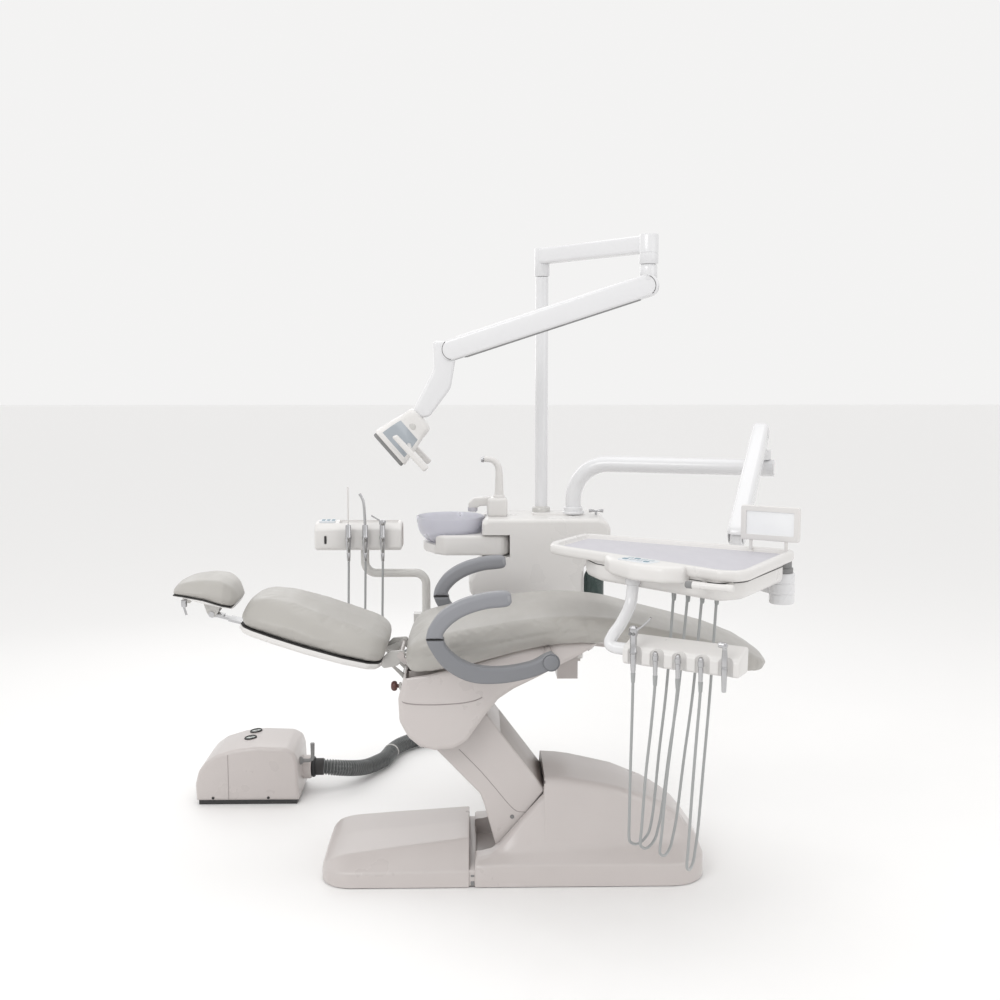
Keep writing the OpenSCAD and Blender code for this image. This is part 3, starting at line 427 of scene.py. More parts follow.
def enamel(name, color, rough=0.22, coat=0.5):
    """Powder-coated metal: harder gloss and a coarser peel than plastic."""
    mat, nodes, links, shader = new_material(name, color, rough, coat=coat)
    slow = add_noise(nodes, links, 4, 3)
    peel = add_noise(nodes, links, 260, 2)
    vary_color(nodes, links, shader, color, slow.outputs["Fac"], 0.025, [c * 0.82 for c in color])
    vary_gloss(nodes, links, shader, slow, rough * 0.8, rough * 1.25)
    add_bump(nodes, links, shader, peel.outputs["Fac"], 0.16, 0.0003)
    return mat


def vinyl(name, color, rough=0.42):
    """Upholstery vinyl: pebbled grain, soft creases and a slow drift in colour."""
    mat, nodes, links, shader = new_material(name, color, rough, coat=0.08)
    shader.inputs["Sheen Weight"].default_value = 0.12
    shader.inputs["Sheen Roughness"].default_value = 0.5
    place = nodes.new("ShaderNodeTexCoord")
    grain = nodes.new("ShaderNodeTexVoronoi")
    grain.inputs["Scale"].default_value = 620
    links.new(place.outputs["Object"], grain.inputs["Vector"])
    slow = add_noise(nodes, links, 6, 5)
    crease = add_noise(nodes, links, 22, 5, (1.0, 0.35, 1.0))
    vary_color(nodes, links, shader, color, slow.outputs["Fac"], 0.05, [c * 0.9 for c in color])
    vary_gloss(nodes, links, shader, crease, rough * 0.85, rough * 1.2)
    soft = add_bump(nodes, links, shader, crease.outputs["Fac"], 0.25, 0.002)
    add_bump(nodes, links, shader, grain.outputs["Distance"], 0.22, 0.0004, under=soft)
    return mat


def metal(name, color, rough=0.2, brushed=None):
    """Bare metal, with brush marks along one axis where brushed gives their stretch."""
    mat, nodes, links, shader = new_material(name, color, rough, metallic=1.0)
    marks = add_noise(nodes, links, 90, 4, brushed)
    vary_color(nodes, links, shader, color, marks.outputs["Fac"], 0.08)
    vary_gloss(nodes, links, shader, marks, rough * 0.7, rough * 1.4)
    add_bump(nodes, links, shader, marks.outputs["Fac"], 0.08, 0.0002)
    return mat


GLASS_IOR = 1.45


def clear(name, color, rough, transmission):
    """Tinted glass or frosted acrylic."""
    mat, nodes, links, shader = new_material(name, color, rough)
    shader.inputs["Transmission Weight"].default_value = transmission
    shader.inputs["IOR"].default_value = GLASS_IOR
    slow = add_noise(nodes, links, 9, 2)
    vary_color(nodes, links, shader, color, slow.outputs["Fac"], 0.03)
    vary_gloss(nodes, links, shader, slow, rough * 0.85, rough * 1.15)
    add_bump(nodes, links, shader, slow.outputs["Fac"], 0.03, 0.0002)
    return mat


# Kind, name, colour, then what that kind of material takes
LOOKS = [
    (moulded, "warm_shell", (0.55, 0.51, 0.495)),
    (moulded, "white_shell", (0.70, 0.685, 0.67)),
    (enamel, "white_enamel", (0.72, 0.72, 0.73)),
    (enamel, "gray_enamel", (0.56, 0.55, 0.53)),
    (metal, "steel", (0.55, 0.55, 0.56), 0.34, (1.0, 14.0, 1.0)),
    (enamel, "dark_steel", (0.05, 0.05, 0.055), 0.45, 0.1),
    (vinyl, "upholstery", (0.40, 0.385, 0.36)),
    (moulded, "armrest_dark", (0.20, 0.205, 0.22), 0.42, 0.05, 0.035, (0.30, 0.305, 0.32)),
    (moulded, "armrest_light", (0.25, 0.255, 0.275), 0.45, 0.05, 0.035, (0.36, 0.365, 0.385)),
    (moulded, "black_plastic", (0.012, 0.012, 0.013), 0.5, 0.0, 0.035, (0.05, 0.05, 0.05)),
    (moulded, "gauge_face", (0.42, 0.45, 0.43), 0.15, 0.8),
    # ribbed_hose: its last colour, taken on the rib crests, is a painted highlight
    (moulded, "ribbed_hose", (0.06, 0.065, 0.065), 0.26, 0.6, 0.25, (0.50, 0.52, 0.52)),
    (moulded, "thin_hose", (0.33, 0.34, 0.34), 0.36, 0.15, 0.08),
    (metal, "chrome", (0.50, 0.50, 0.51), 0.14),
    (moulded, "knob_brown", (0.10, 0.035, 0.03), 0.35, 0.2),
    (clear, "bowl_lavender", (0.80, 0.80, 0.86), 0.3, 0.5),
    (clear, "bottle_glass", (0.07, 0.10, 0.095), 0.08, 0.55),
    (moulded, "seam", (0.035, 0.033, 0.033), 0.6, 0.0),
    (moulded, "soft_seam", (0.30, 0.27, 0.265), 0.5, 0.0),
    (vinyl, "mat_lavender", (0.50, 0.49, 0.53), 0.5),
    (moulded, "taupe_cover", (0.36, 0.32, 0.30), 0.4, 0.1),
    (moulded, "film_white", (0.86, 0.87, 0.88), 0.2, 0.5, 0.01),
    (moulded, "keypad", (0.66, 0.69, 0.72), 0.35, 0.3),
    (moulded, "key_blue", (0.20, 0.30, 0.36), 0.35, 0.2),
    (moulded, "key_gray", (0.50, 0.55, 0.58), 0.35, 0.2),
    (moulded, "lamp_panel", (0.33, 0.36, 0.39), 0.25, 0.4),
    (clear, "lens", (0.10, 0.13, 0.18), 0.06, 0.25),
    (moulded, "shadow_gray", (0.22, 0.22, 0.22), 0.5, 0.0),
]
MATERIALS = {row[1]: row[0](*row[1:]) for row in LOOKS}


# ---------- camera, lights and floor ----------

LENS, SENSOR = 44.28, 36
CAMERA_AT = (-0.116, -3.8, 1.59)
LOOK_DOWN, LOOK_RIGHT = 6.494, 1.164


def make_camera():
    data = bpy.data.cameras.new("camera")
    data.lens = LENS
    data.sensor_width = SENSOR
    camera = bpy.data.objects.new("camera", data)
    camera.location = CAMERA_AT
    camera.rotation_euler = (math.radians(90 - LOOK_DOWN), 0, math.radians(-LOOK_RIGHT))
    scene.collection.objects.link(camera)
    scene.camera = camera


def area_light(name, at, aim, size, power):
    data = bpy.data.lights.new(name, "AREA")
    data.shape = "RECTANGLE"
    data.size, data.size_y = size
    data.energy = power
    light = bpy.data.objects.new(name, data)
    light.location = at
    light.rotation_euler = (Vector(aim) - Vector(at)).to_track_quat("-Z", "Y").to_euler()
    scene.collection.objects.link(light)


# Name, place, aim, size and power, in metres and watts
LIGHTS = [
    ("key", (-2.2, -3.0, 3.4), (0, 0, 0.6), (2.4, 1.8), 46),
    ("fill", (3.2, -2.2, 2.0), (0.2, 0, 0.7), (2.2, 2.2), 13),
    ("top", (0.2, 0.6, 3.8), (0, 0.1, 0.5), (3.2, 2.6), 24),
    ("back", (-1.2, 3.2, 2.2), (0, 0, 0.9), (2.6, 1.6), 10),
]
FLOOR_COLOR, FLOOR_REACH = (0.93, 0.925, 0.92), 40000


def make_studio():
    for row in LIGHTS:
        area_light(*row)
    world = bpy.data.worlds.new("studio")
    world.use_nodes = True
    world.node_tree.nodes["Background"].inputs["Color"].default_value = (1.0, 0.995, 0.99, 1)
    world.node_tree.nodes["Background"].inputs["Strength"].default_value = 0.90
    scene.world = world
    scene.view_settings.view_transform = "Standard"
    corners = [(x * FLOOR_REACH, y * FLOOR_REACH, 0) for x, y in ((-1, -1), (1, -1), (1, 1), (-1, 1))]
    floor = make("floor", (corners, [(0, 1, 2, 3)]))
    floor.data.materials.append(moulded("floor_paint", FLOOR_COLOR, 0.55, 0.0, 0.006, edge_wear_and_highlight=FLOOR_COLOR))


# ---------- cords ----------


def supply_hose():
    """Corrugated hose from the junction box, round behind the base and into its far side."""
    route = [(-722, 640, 90), (-690, 640, 90), (-655, 646, 85), (-620, 664, 76), (-588, 690, 66),
        (-560, 725, 55), (-530, 780, 42), (-500, 840, 36), (-475, 890, 34), (-460, 950, 34),
        (-446, 1010, 34), (-420, 1070, 34), (-380, 1122, 34), (-325, 1162, 34), (-255, 1184, 34),
        (-185, 1182, 34), (-115, 1160, 34), (-55, 1118, 34), (-10, 1060, 34), (20, 990, 34), (32, 910, 34),
        (35, 820, 34), (35, 720, 34), (35, 620, 34), (35, 520, 34), (35, 430, 36), (35, 350, 42),
        (35, 300, 46), (35, 260, 46)]
    outer, rib, step, per_rib = 30, 5.5, 1.75, 6
    plug_points, plug_radius, tie_at = 20, 25.5, 118
    path = curve(route, 10)
    even = resample(path, step)
    wave = [outer - rib * (0.5 - 0.5 * math.cos(2 * math.pi * i / per_rib)) for i in range(len(even))]
    for i in range(plug_points):
        wave[i] = min(wave[i], plug_radius)
    hose = piece("supply_hose_ribs", tube(even, wave, 28), "base", "ribbed_hose", ["supply_hose"], sharp=80)
    at = resample(path, 4)[tie_at:tie_at + 2]
    piece("hose_tie", tube([at[0], at[1] + (at[1] - at[0])], outer + 1.6, 32), "base", "gray_enamel")
    ring = [(26, -5), (35, -5), (38, -2), (38, 4), (34, 8), (26, 8)]
    piece("hose_cuff", lathe(ring, (-718, 640, 90), "x"), "base", "black_plastic")
    piece("hose_sleeve", lathe([(20, 0), (31, 0), (31, 26), (28, 30), (22, 30)], (-708, 640, 90), "x"),
        "base", "seam")


def resample(path, step):
    """Points a fixed distance apart along a path, with its two ends kept."""
    path = [Vector(p) for p in path]
    total = sum((b - a).length for a, b in zip(path, path[1:]))
    count = max(2, round(total / step))
    out, walked, goal = [path[0]], 0.0, total / count
    for a, b in zip(path, path[1:]):
        span = (b - a).length
        while goal <= walked + span and len(out) < count:
            out.append(a.lerp(b, (goal - walked) / span))
            goal += total / count
        walked += span
    return out + [path[-1]]


TRAY_AT, TRAY_DEG = (531, -83), -31.3
SLOT_PITCH, REST_Y, TAIL_Z = 64, -533, 752


def slot_x(i):
    return 63 + SLOT_PITCH * i


def tray_world(x, y, z):
    c, s = math.cos(math.radians(TRAY_DEG)), math.sin(math.radians(TRAY_DEG))
    return Vector((TRAY_AT[0] + x * c - y * s, TRAY_AT[1] + x * s + y * c, z))


def loop_route(i):
    """U-shaped loop from an outlet under the tray down to its lowest point and up to an instrument's tail."""
    out_x, loop_x, low = (95, 137, 179, 221)[i], (52, 80, 132, 205)[i], (246, 240, 230, 206)[i]
    o, b, s = Vector((out_x, -330)), Vector((loop_x, -448)), Vector((slot_x(i), REST_Y))
    half = 0.5 * (s - o) * 0.55
    down = [(0, 954), (0.06, 894), (0.3, 674), (0.62, low + 250), (0.86, low + 90)]
    up = [(0.14, low + 90), (0.38, low + 230), (0.7, TAIL_Z - 160), (0.96, TAIL_Z - 45), (1, TAIL_Z)]
    first = [tray_world(*(o + f * (b - half - o)), z) for f, z in down]
    turn = [math.radians(a) for a in (15, 45, 75, 105, 135, 165)]
    loop = [tray_world(*(b - half * math.cos(a)), low + 40 * (1 - math.sin(a))) for a in turn]
    last = [tray_world(*(b + half + f * (s - b - half)), z) for f, z in up]
    return first + loop + last


INSTRUMENTS = ["syringe_body", "coupling_1", "coupling_2", "coupling_3"]


def tray_hoses():
    for i in range(4):
        path = curve(loop_route(i), 8)
        hose = piece(f"instrument_hose_{i + 1}", tube(path, 4, 14), "tray", "thin_hose",
            [f"tray_hose_{i + 1}"])
        top, tail = path[0], path[-1]
        piece(f"outlet_gland_{i + 1}", lathe([(4.6, -34), (6, -30), (7.5, -6), (9.5, -4), (9.5, 0)], top),
            "tray", "thin_hose")
        sleeve = lathe([(4.4, -26), (5.2, -24), (6.6, 0), (6, 3)], tail)
        on_it = [piece(f"tail_sleeve_{i + 1}", sleeve, "tray", "thin_hose"), INSTRUMENTS[i]]


TAIL_X, TAIL_Y = (-555, -497, -437), 425


def assistant_hoses():
    low_z = (536, 548, 560)
    for i in range(3):
        x, y, low = TAIL_X[i], TAIL_Y, low_z[i]
        route = [(x, y, 925), (x, y, 880), (x - 2, y + 2, 780), (x - 3, y + 6, 690), (x + 6, y + 12, 610),
            (x + 36, y + 20, low + 12), ((x - 330) / 2, y + 32 + 8 * i, low), (-358, 470 + 14 * i, low + 6),
            (-334, 480 + 14 * i, low + 36), (-324, 486 + 14 * i, 620), (-322, 486 + 14 * i, 668)]
        path = curve(route[::-1], 8)
        hose = piece(f"suction_hose_{i + 1}", tube(path, 4, 14), "assistant", "thin_hose",
            [f"assistant_hose_{i + 1}"])
        sleeve = lathe([(4.5, -30), (6, -26), (7, 0), (6, 2)], (x, y, 925))
        on_it = [piece(f"suction_sleeve_{i + 1}", sleeve, "assistant", "chrome"), f"suction_grip_{i + 1}"]


make_camera()
make_studio()
supply_hose()


# ---------- base and lift ----------

def base_section(x, half, skirt, crown_half, crown, soft):
    """Cross-section of a base cover: upright skirt, sloping shoulder, rounded crown."""
    outline = fillet([(-half, 3), (half, 3), (half, skirt), (crown_half, crown), (0, crown + 3),
        (-crown_half, crown), (-half, skirt)], [0, 0, 13, soft, 60, soft, 13], 6)
    return [(x, y, z) for y, z in outline]


def corner_half(half, corner, depth):
    """Half-width of a plan with round corners, at a depth from its end."""
    if depth >= corner:
        return half
    return half - corner + math.sqrt(max(corner ** 2 - (corner - depth) ** 2, 1))


def front_cover():
    lo, hi = edges_mm("front_cover")
    length = hi.x - lo.x
    crown = [(0, 40), (6, 54), (20, 67), (45, 78), (80, 85), (200, 98), (length, 122)]
    skirt = [(0, 30), (10, 40), (40, 48), (length, 52)]
    rings = []
    for d in (0, 2, 6, 13, 24, 38, 56, 76, 95, 140, 200, 300, 400, length - 5, length - 1.5, length):
        trim = {length: 3, length - 1.5: 1}.get(d, 0)
        half = corner_half(hi.y, 95, max(d, 0.4)) - trim
        top = min(half - 22, 172 - 34 * d / length)
        rings.append(base_section(lo.x + d, half, table(skirt, d) - trim, top, table(crown, d) - trim, 30))
    piece("front_cover_shell", loft(rings), "base", "warm_shell", ["front_cover"])


def rear_cover():
    hi_x, half_y = 590, 230
    hump = [(-119, 78), (-96, 80), (-66, 88), (-42, 108), (20, 180), (92, 262), (95, 314), (140, 312),
        (182, 307), (250, 293), (323, 277), (419, 241), (470, 214), (513, 184), (545, 148), (568, 116),
        (580, 100), (588, 80), (590, 70)]
    hump_half = [(-119, 178), (-60, 174), (20, 160), (92, 150), (95, 144), (182, 140), (323, 132),
        (419, 120), (513, 100), (560, 80), (590, 60)]
    shelf = [(-119, 76), (-40, 90), (60, 104), (200, 112), (420, 112), (540, 104), (575, 92), (590, 74)]
    rings = []
    stops = (-119, -117, -113, -96, -80, -66, -42, -10, 20, 50, 74, 91.5, 95, 97, 104, 140, 182, 230, 280,
        323, 370, 419, 450, 480, 500, 520, 538, 553, 566, 576, 583, 588, 590)
    for x in stops:
        trim = max(0, -115 - x) * 0.8
        half = corner_half(half_y, 110, max(hi_x - x, 0.5)) - trim
        crown = table(hump, x) - trim
        ridge = min(table(hump_half, x), half - 30)
        foot = min(table(shelf, x), crown - 3)
        spread = min(ridge + 22 + 0.10 * (crown - foot), half - 12)
        outline = fillet([(-half, 3), (half, 3), (half, min(70, foot - 6)), (spread, foot), (ridge, crown),
            (0, crown + 2), (-ridge, crown), (-spread, foot), (-half, min(70, foot - 6))],
            [0, 0, 12, 60, 34, 60, 34, 60, 12], 6)
        rings.append([(x, y, z) for y, z in outline])
    shell = make("rear_cover_shell", loft(rings))
    cut(shell, block((-140, -134, 30), (96, 134, 420), 2), block((80, -134, 30), (113, 134, 284), 2))
    finish_piece(shell, "base", "warm_shell", ["rear_cover"])
    joint = [(96, -146, 236 + 7 * k) for k in range(11)]
    piece("hump_joint", tube(joint, 1.1, THIN_SIDES), "base", "seam")
    collar = [(26, 0), (40, 0), (40, 30), (37, 34), (28, 34), (26, 30)]
    piece("hose_inlet_collar", lathe(collar, (35, 226, 46), "y"), "base", "warm_shell")
    piece("cover_joint", block((-139, -225, 4), (-114, 225, 54), 4), "base", "warm_shell")
    for z, name in ((34, "upper"), (7, "lower")):
        latch = block((-132, -227.5, z), (-121, -214, z + (6 if z > 20 else 13)), 1.5)
        piece(f"cover_latch_{name}", latch, "base", "shadow_gray")


def cover_outline():
    """Side outline of the lift arm's cover."""
    lean, away = Vector((-math.cos(math.radians(48)), math.sin(math.radians(48)))), Vector((0.743, 0.669))
    pin = Vector((-4, 185))
    upper, under = pin + 322 * lean + 148 * away, pin + 322 * lean - 30 * away
    return [(-54, 89), (-35, 95), (20, 168), (98, 270), (-81, 509), tuple(upper), tuple(under), (-103, 259),
        (-91, 227)]


def lift_cover():
    lo, hi = edges_mm("arm_cover")
    outline = fillet(cover_outline(), [6, 10, 14, 10, 10, 4, 4, 30, 24])
    piece("arm_cover_shell", slab(outline, lo.y, hi.y, 7), "lift", "warm_shell", ["arm_cover"])
    # Dark strip on the face that looks towards the leg end
    a, b = Vector((98, 270)), Vector((-81, 509))
    along = (b - a).normalized()
    out = Vector((along.y, -along.x))
    start, end = a + 6 * along, b - 70 * along
    strip = [tuple(start - out), tuple(end - out), tuple(end + 0.6 * out), tuple(start + 0.6 * out)]
    piece("arm_cover_back", slab(fillet(strip, 0.4, 2), lo.y + 7, hi.y - 7, 0.6), "lift", "taupe_cover")
    seam = [(-168, 402), (-105, 336), (-59, 281), (-13, 224), (8, 205), (24, 201), (43, 200)]
    for s, name in SIDES:
        y = lo.y - 0.1 if s < 0 else hi.y + 0.1
        path = curve([(x, y, z) for x, z in seam], 6)
        piece(f"arm_cover_seam_{name}", tube(path, 1.0, THIN_SIDES), "lift", "soft_seam")
        screw = lathe([(6.5, 0), (6.5, 1.2), (5.2, 1.8), (5, 0.6), (1.8, 0.4)], (-4, y, 186),
            "-y" if s < 0 else "y")
        piece(f"arm_cover_screw_{name}", screw, "lift", "shadow_gray")


def junction_box():
    side = [(-1121, 14), (-1123, 75), (-1111, 123), (-1085, 156), (-1049, 182), (-977, 204), (-906, 212),
        (-799, 208), (-767, 191), (-757, 158), (-752, 14)]
    lo, hi = edges_mm("box_cover")
    outline = fillet(side, [8, 60, 60, 60, 60, 60, 60, 34, 26, 20, 6])
    piece("junction_box_shell", slab(outline, lo.y, hi.y, 15, steps=6), "base", "warm_shell", ["box_cover"])
    piece("port_collar", lathe([(20, -6), (43, -6), (43, 28), (40, 33), (24, 33)], (-757, 640, 90), "x"),
        "base", "warm_shell")
    piece("box_seam", tube([(-1004, 489.6, z) for z in range(20, 186, 15)], 0.9, THIN_SIDES), "base",
        "soft_seam")
    for x in (-1060, -862):
        screw = lathe([(5, 0), (5, 1.5), (3.8, 2.2), (3.6, 0.8), (1.2, 0.6)], (x, 490.2, 26), "-y")
        piece(f"box_screw_{-x}", screw, "base", "seam")
    slope = math.atan2(8, 71)
    up = Vector((-math.sin(slope), 0, math.cos(slope)))
    for i, (x, y) in enumerate(((-944, 618), (-938, 700))):
        at = Vector((x, y, 204 + (x + 977) * 8 / 71))
        piece(f"gauge_ring_{i + 1}", lathe([(19, -2), (23, -2), (23, 3), (21, 5), (18.6, 5), (18, 2)], at,
            up), "base", "black_plastic", ["box_gauges"] if i == 0 else ())
        piece(f"gauge_dial_{i + 1}", lathe([(18, -1), (18, 2.4), (16, 3.0), (0.5, 3.4)], at, up), "base",
            "gauge_face")
        tip = at + 4.2 * up
        piece(f"gauge_needle_{i + 1}", tube([tip + Vector((-3, 3, 0)), tip + Vector((9, -8, 1))], 0.7, 6),
            "base", "seam")


# ---------- seat ----------

def casing():
    side = [(-330, 649), (-349, 578), (-346, 510), (-320, 460), (-284, 429), (-239, 416), (-178, 422),
        (-139, 447), (-109, 490), (-73, 539), (-43, 576), (2, 606), (77, 643), (137, 676), (197, 707),
        (233, 728), (256, 752), (200, 755), (136, 753), (102, 748), (14, 731), (-133, 688), (-252, 662)]
    room = [(-326, 700), (-325, 649), (-343, 577), (-340, 511), (-313, 464), (-280, 436), (-236, 380),
        (-100, 380), (60, 560), (220, 713), (236, 790), (100, 800), (-200, 760)]
    outline = fillet(side, [6] + [40] * 14 + [20, 5] + [30] * 6)
    shell = make("casing_shell", slab(outline, -207, 207, 22, steps=6))
    cut(shell, slab(fillet(room, 6), -200, 200, 3), block((-365, -75, 560), (-310, 75, 670), 2))
    finish_piece(shell, "seat", "warm_shell", ["seat_casing"])
    groove = [(-338, 577), (-330, 571), (-300, 566), (-240, 564), (-164, 568), (-120, 576), (-96, 586)]
    for s, name in SIDES:
        inner = [(x, s * 207.2, z) for x, z in groove]
        inner[0] = (groove[0][0], s * 200, groove[0][1])
        piece(f"casing_groove_{name}", tube(curve(inner, 6), 1.5, THIN_SIDES), "seat", "soft_seam")


def release_knob():
    knob = [(6, -8), (6, 6), (12, 8), (15, 11), (15.6, 15), (15, 20), (12, 24), (6, 26), (1, 26.4)]
    piece("release_knob_turned", lathe(knob, (-350, -100, 594), "-x", 40), "recline_knob", "knob_brown",
        ["release_knob"])
    collar = [(9, -4), (12, -4), (12, 1), (10, 3), (7, 3)]
    piece("release_knob_collar", lathe(collar, (-348, -100, 594), "-x", 40), "seat", "gray_enamel")


def valve_lever():
    path = curve([(-760, 560, 140), (-738, 560, 140), (-720, 560, 141), (-711, 560, 150), (-710, 560, 175),
        (-710, 560, 205)], 6)
    last = len(path) - 1
    radii = [8 - 1.5 * math.sin(math.pi * i / last) for i in range(last + 1)]
    piece("valve_lever_bar", tube(path, radii, 16), "valve", "shadow_gray", ["valve_lever"])
    piece("valve_lever_boss", lathe([(9, -6), (14, -6), (14, 4), (11, 8), (8, 8)], (-754, 560, 140), "x"),
        "valve", "shadow_gray")


SWELL_CAP = 5
SWELL_FRAMES = 14
SMOOTHING = 0.6, 9
CLOTH_SETTINGS = {
    "quality": 4, "mass": 0.4, "tension_stiffness": 28, "compression_stiffness": 28, "bending_stiffness": 4,
    "use_pressure": True, "uniform_pressure_force": 2.4,
}


def swell(obj):
    """Blows an object up as cloth; no point goes further than SWELL_CAP."""
    rest = [v.co.copy() for v in obj.data.vertices]
    cloth = obj.modifiers.new("cloth", "CLOTH")
    for key, value in CLOTH_SETTINGS.items():
        setattr(cloth.settings, key, value)
    cloth.settings.effector_weights.gravity = 0
    cloth.collision_settings.use_self_collision = False
    for frame_number in range(1, SWELL_FRAMES + 1):
        scene.frame_set(frame_number)
    graph = bpy.context.evaluated_depsgraph_get()
    moved = [v.co.copy() for v in obj.evaluated_get(graph).data.vertices]
    obj.modifiers.clear()
    scene.frame_set(1)
    limit = SWELL_CAP * MM
    for v, a, b in zip(obj.data.vertices, rest, moved):
        shift = b - a
        v.co = a + (shift * (limit / shift.length) if shift.length > limit else shift)


def cushion(name, rings, body, node, matrix=None, voxel=6.0):
    """Upholstered foam: remeshed, swelled and subdivided."""
    obj = make(name, loft(rings), matrix)
    remesh = obj.modifiers.new("remesh", "REMESH")
    remesh.mode = "VOXEL"
    remesh.voxel_size = voxel * MM
    apply_modifiers(obj)
    smooth = obj.modifiers.new("smooth", "SMOOTH")
    smooth.factor, smooth.iterations = SMOOTHING
    apply_modifiers(obj)
    swell(obj)
    divide = obj.modifiers.new("divide", "SUBSURF")
    divide.levels = 1
    divide.render_levels = 1
    apply_modifiers(obj)
    finish_piece(obj, body, "upholstery", [node])
    return obj


SEAT_TOP = [
    (-326, 712), (-318, 738), (-300, 757), (-270, 769), (-200, 784), (-100, 800), (0, 817), (100, 828),
    (200, 829), (294, 820), (400, 793), (500, 769), (626, 737), (726, 701), (770, 676), (788, 660),
]
SEAT_BOTTOM = [
    (-326, 686), (-310, 660), (-250, 668), (-132, 693), (14, 734), (102, 752), (200, 756), (299, 748),
    (460, 713), (600, 675), (700, 647), (760, 637), (788, 645),
]
SEAT_HALF = [
    (-326, 208), (-312, 232), (-280, 248), (-200, 257), (-100, 259), (100, 253), (260, 242), (400, 226),
    (560, 210), (680, 195), (730, 176), (765, 140), (788, 84),
]


def seat():
    rings = []
    for x in [-326, -322, -312, -296] + list(range(-275, 760, 25)) + [765, 778, 788]:
        low, top, half = table(SEAT_BOTTOM, x), table(SEAT_TOP, x), table(SEAT_HALF, x)
        h = top - low
        outline = fillet([(-half + 22, low), (half - 22, low), (half - 8, low + 0.34 * h),
            (half - 21, low + 0.5 * h), (half, low + 0.69 * h), (half - 20, top - 2), (0, top + 5),
            (-half + 20, top - 2), (-half, low + 0.69 * h), (-half + 21, low + 0.5 * h),
            (-half + 8, low + 0.34 * h)], [14, 14, 14, 9, 24, 26, 200, 26, 24, 9, 14], 4)
        rings.append([(x, y, z) for y, z in outline])
    cushion("seat_upholstery", rings, "seat", "seat_cushion")


def smooth_outline(points):
    """Smooth curve through points of the side view."""
    return [(p.x, p.y) for p in curve([(x, z, 0) for x, z in points], 5)]


def armrest(side, y0, y1):
    low_out = [(118, 742), (122, 728), (98, 706), (41, 683), (-46, 667), (-132, 672), (-204, 711),
        (-244, 764), (-258, 796)]
    low_in = [(-206, 796), (-199, 774), (-166, 742), (-115, 718), (-40, 713), (40, 727), (80, 748),
        (102, 756)]
    high_out = [(-258, 797.4), (-250, 828), (-217, 874), (-160, 909), (-89, 929), (-31, 934), (-14, 924)]
    high_in = [(-12, 904), (-26, 891), (-85, 884), (-140, 867), (-180, 843), (-206, 814), (-208, 797.4)]
    body = f"armrest_{side}"
    lower = smooth_outline(low_out) + smooth_outline(low_in)
    piece(f"{side}_armrest_arm", slab(lower, y0 + 2, y1 - 2, 10, steps=6), body, "armrest_dark",
        [f"{side}_armrest_bracket"])
    upper = smooth_outline(high_out) + smooth_outline(high_in)
    piece(f"{side}_armrest_grip", slab(upper, y0, y1, 15, steps=6), body, "armrest_light",
        [f"{side}_armrest_pad"])
    joint = [(-256.5, 795.8), (-207, 795.8), (-207.5, 797.6), (-256.5, 797.6)]
    piece(f"{side}_armrest_joint", slab(joint, y0 + 4, y1 - 4, 1), body, "seam")
    outer, way = (y0 + 2.5, "-y") if side == "near" else (y1 - 2.5, "y")
    cap = [(26, -6), (26, 1.5), (24.4, 2.4), (23.4, 1.2), (22.2, 1.2), (21.6, 5.5), (19, 7.6), (0.5, 8.4)]
    piece(f"{side}_armrest_cap", lathe(cap, (100, outer, 730), way), body, "armrest_dark")


# ---------- backrest and headrest ----------

BACK_PLAN = [
    (0, 150), (8, 185), (40, 214), (120, 226), (240, 214), (340, 190), (410, 166), (440, 146), (455, 110),
]
BACK = (Matrix.Translation(Vector((-388, 0, 707)) * MM) @ Matrix.Rotation(math.radians(14.5), 4, "Y")
        @ Matrix.Scale(-1, 4, (1, 0, 0)))


def backrest():
    top = [(0, 12), (5, 28), (22, 42), (60, 50), (140, 57), (230, 66), (330, 72), (400, 66), (432, 50),
        (448, 28), (455, 4)]
    low = [(0, -14), (12, -27), (430, -27), (448, -20), (455, -8)]
    rings = []
    for x in [0, 3, 8, 16, 28, 44] + list(range(60, 420, 24)) + [425, 438, 448, 455]:
        half, roof, floor = table(BACK_PLAN, x) - 3, table(top, x), table(low, x)
        edge = min(58, half * 0.35)
        drop = 0.30 * (roof - floor)
        outline = fillet([(-half + 8, floor), (half - 8, floor), (half, floor + drop),
            (half - edge, roof - 3), (0, roof + 3), (-half + edge, roof - 3), (-half, floor + drop)],
            [8, 8, 20, 46, 200, 46, 20], 5)
        rings.append([(x, y, z) for y, z in outline])
    cushion("backrest_upholstery", rings, "backrest", "backrest_cushion", BACK)
    plan = fillet(mirrored(BACK_PLAN), 26)
    piece("backrest_piping", stack(plan, [(7, -25.8), (5.2, -26.4), (5.2, -27.2), (7, -27.8)]), "backrest",
        "seam", matrix=BACK)
    for s, side in SIDES:
        plate = fillet([(-416, 668), (-380, 702), (-336, 706), (-328, 690), (-340, 674), (-356, 656),
            (-398, 648)], 12)
        lo, hi = sorted((s * 90, s * 97))
        piece(f"recline_plate_{side}", slab(plate, lo, hi, 2), "backrest", "gray_enamel")
    levels = [(8, -27.5), (4.8, -28.3), (4, -34), (4.6, -35), (4.6, -36), (4, -37), (5, -41), (12, -47),
        (34, -52), (80, -56), (84, -57)]
    piece("backrest_tub", stack(plan, levels), "backrest", "white_shell", ["backrest_shell"], BACK)


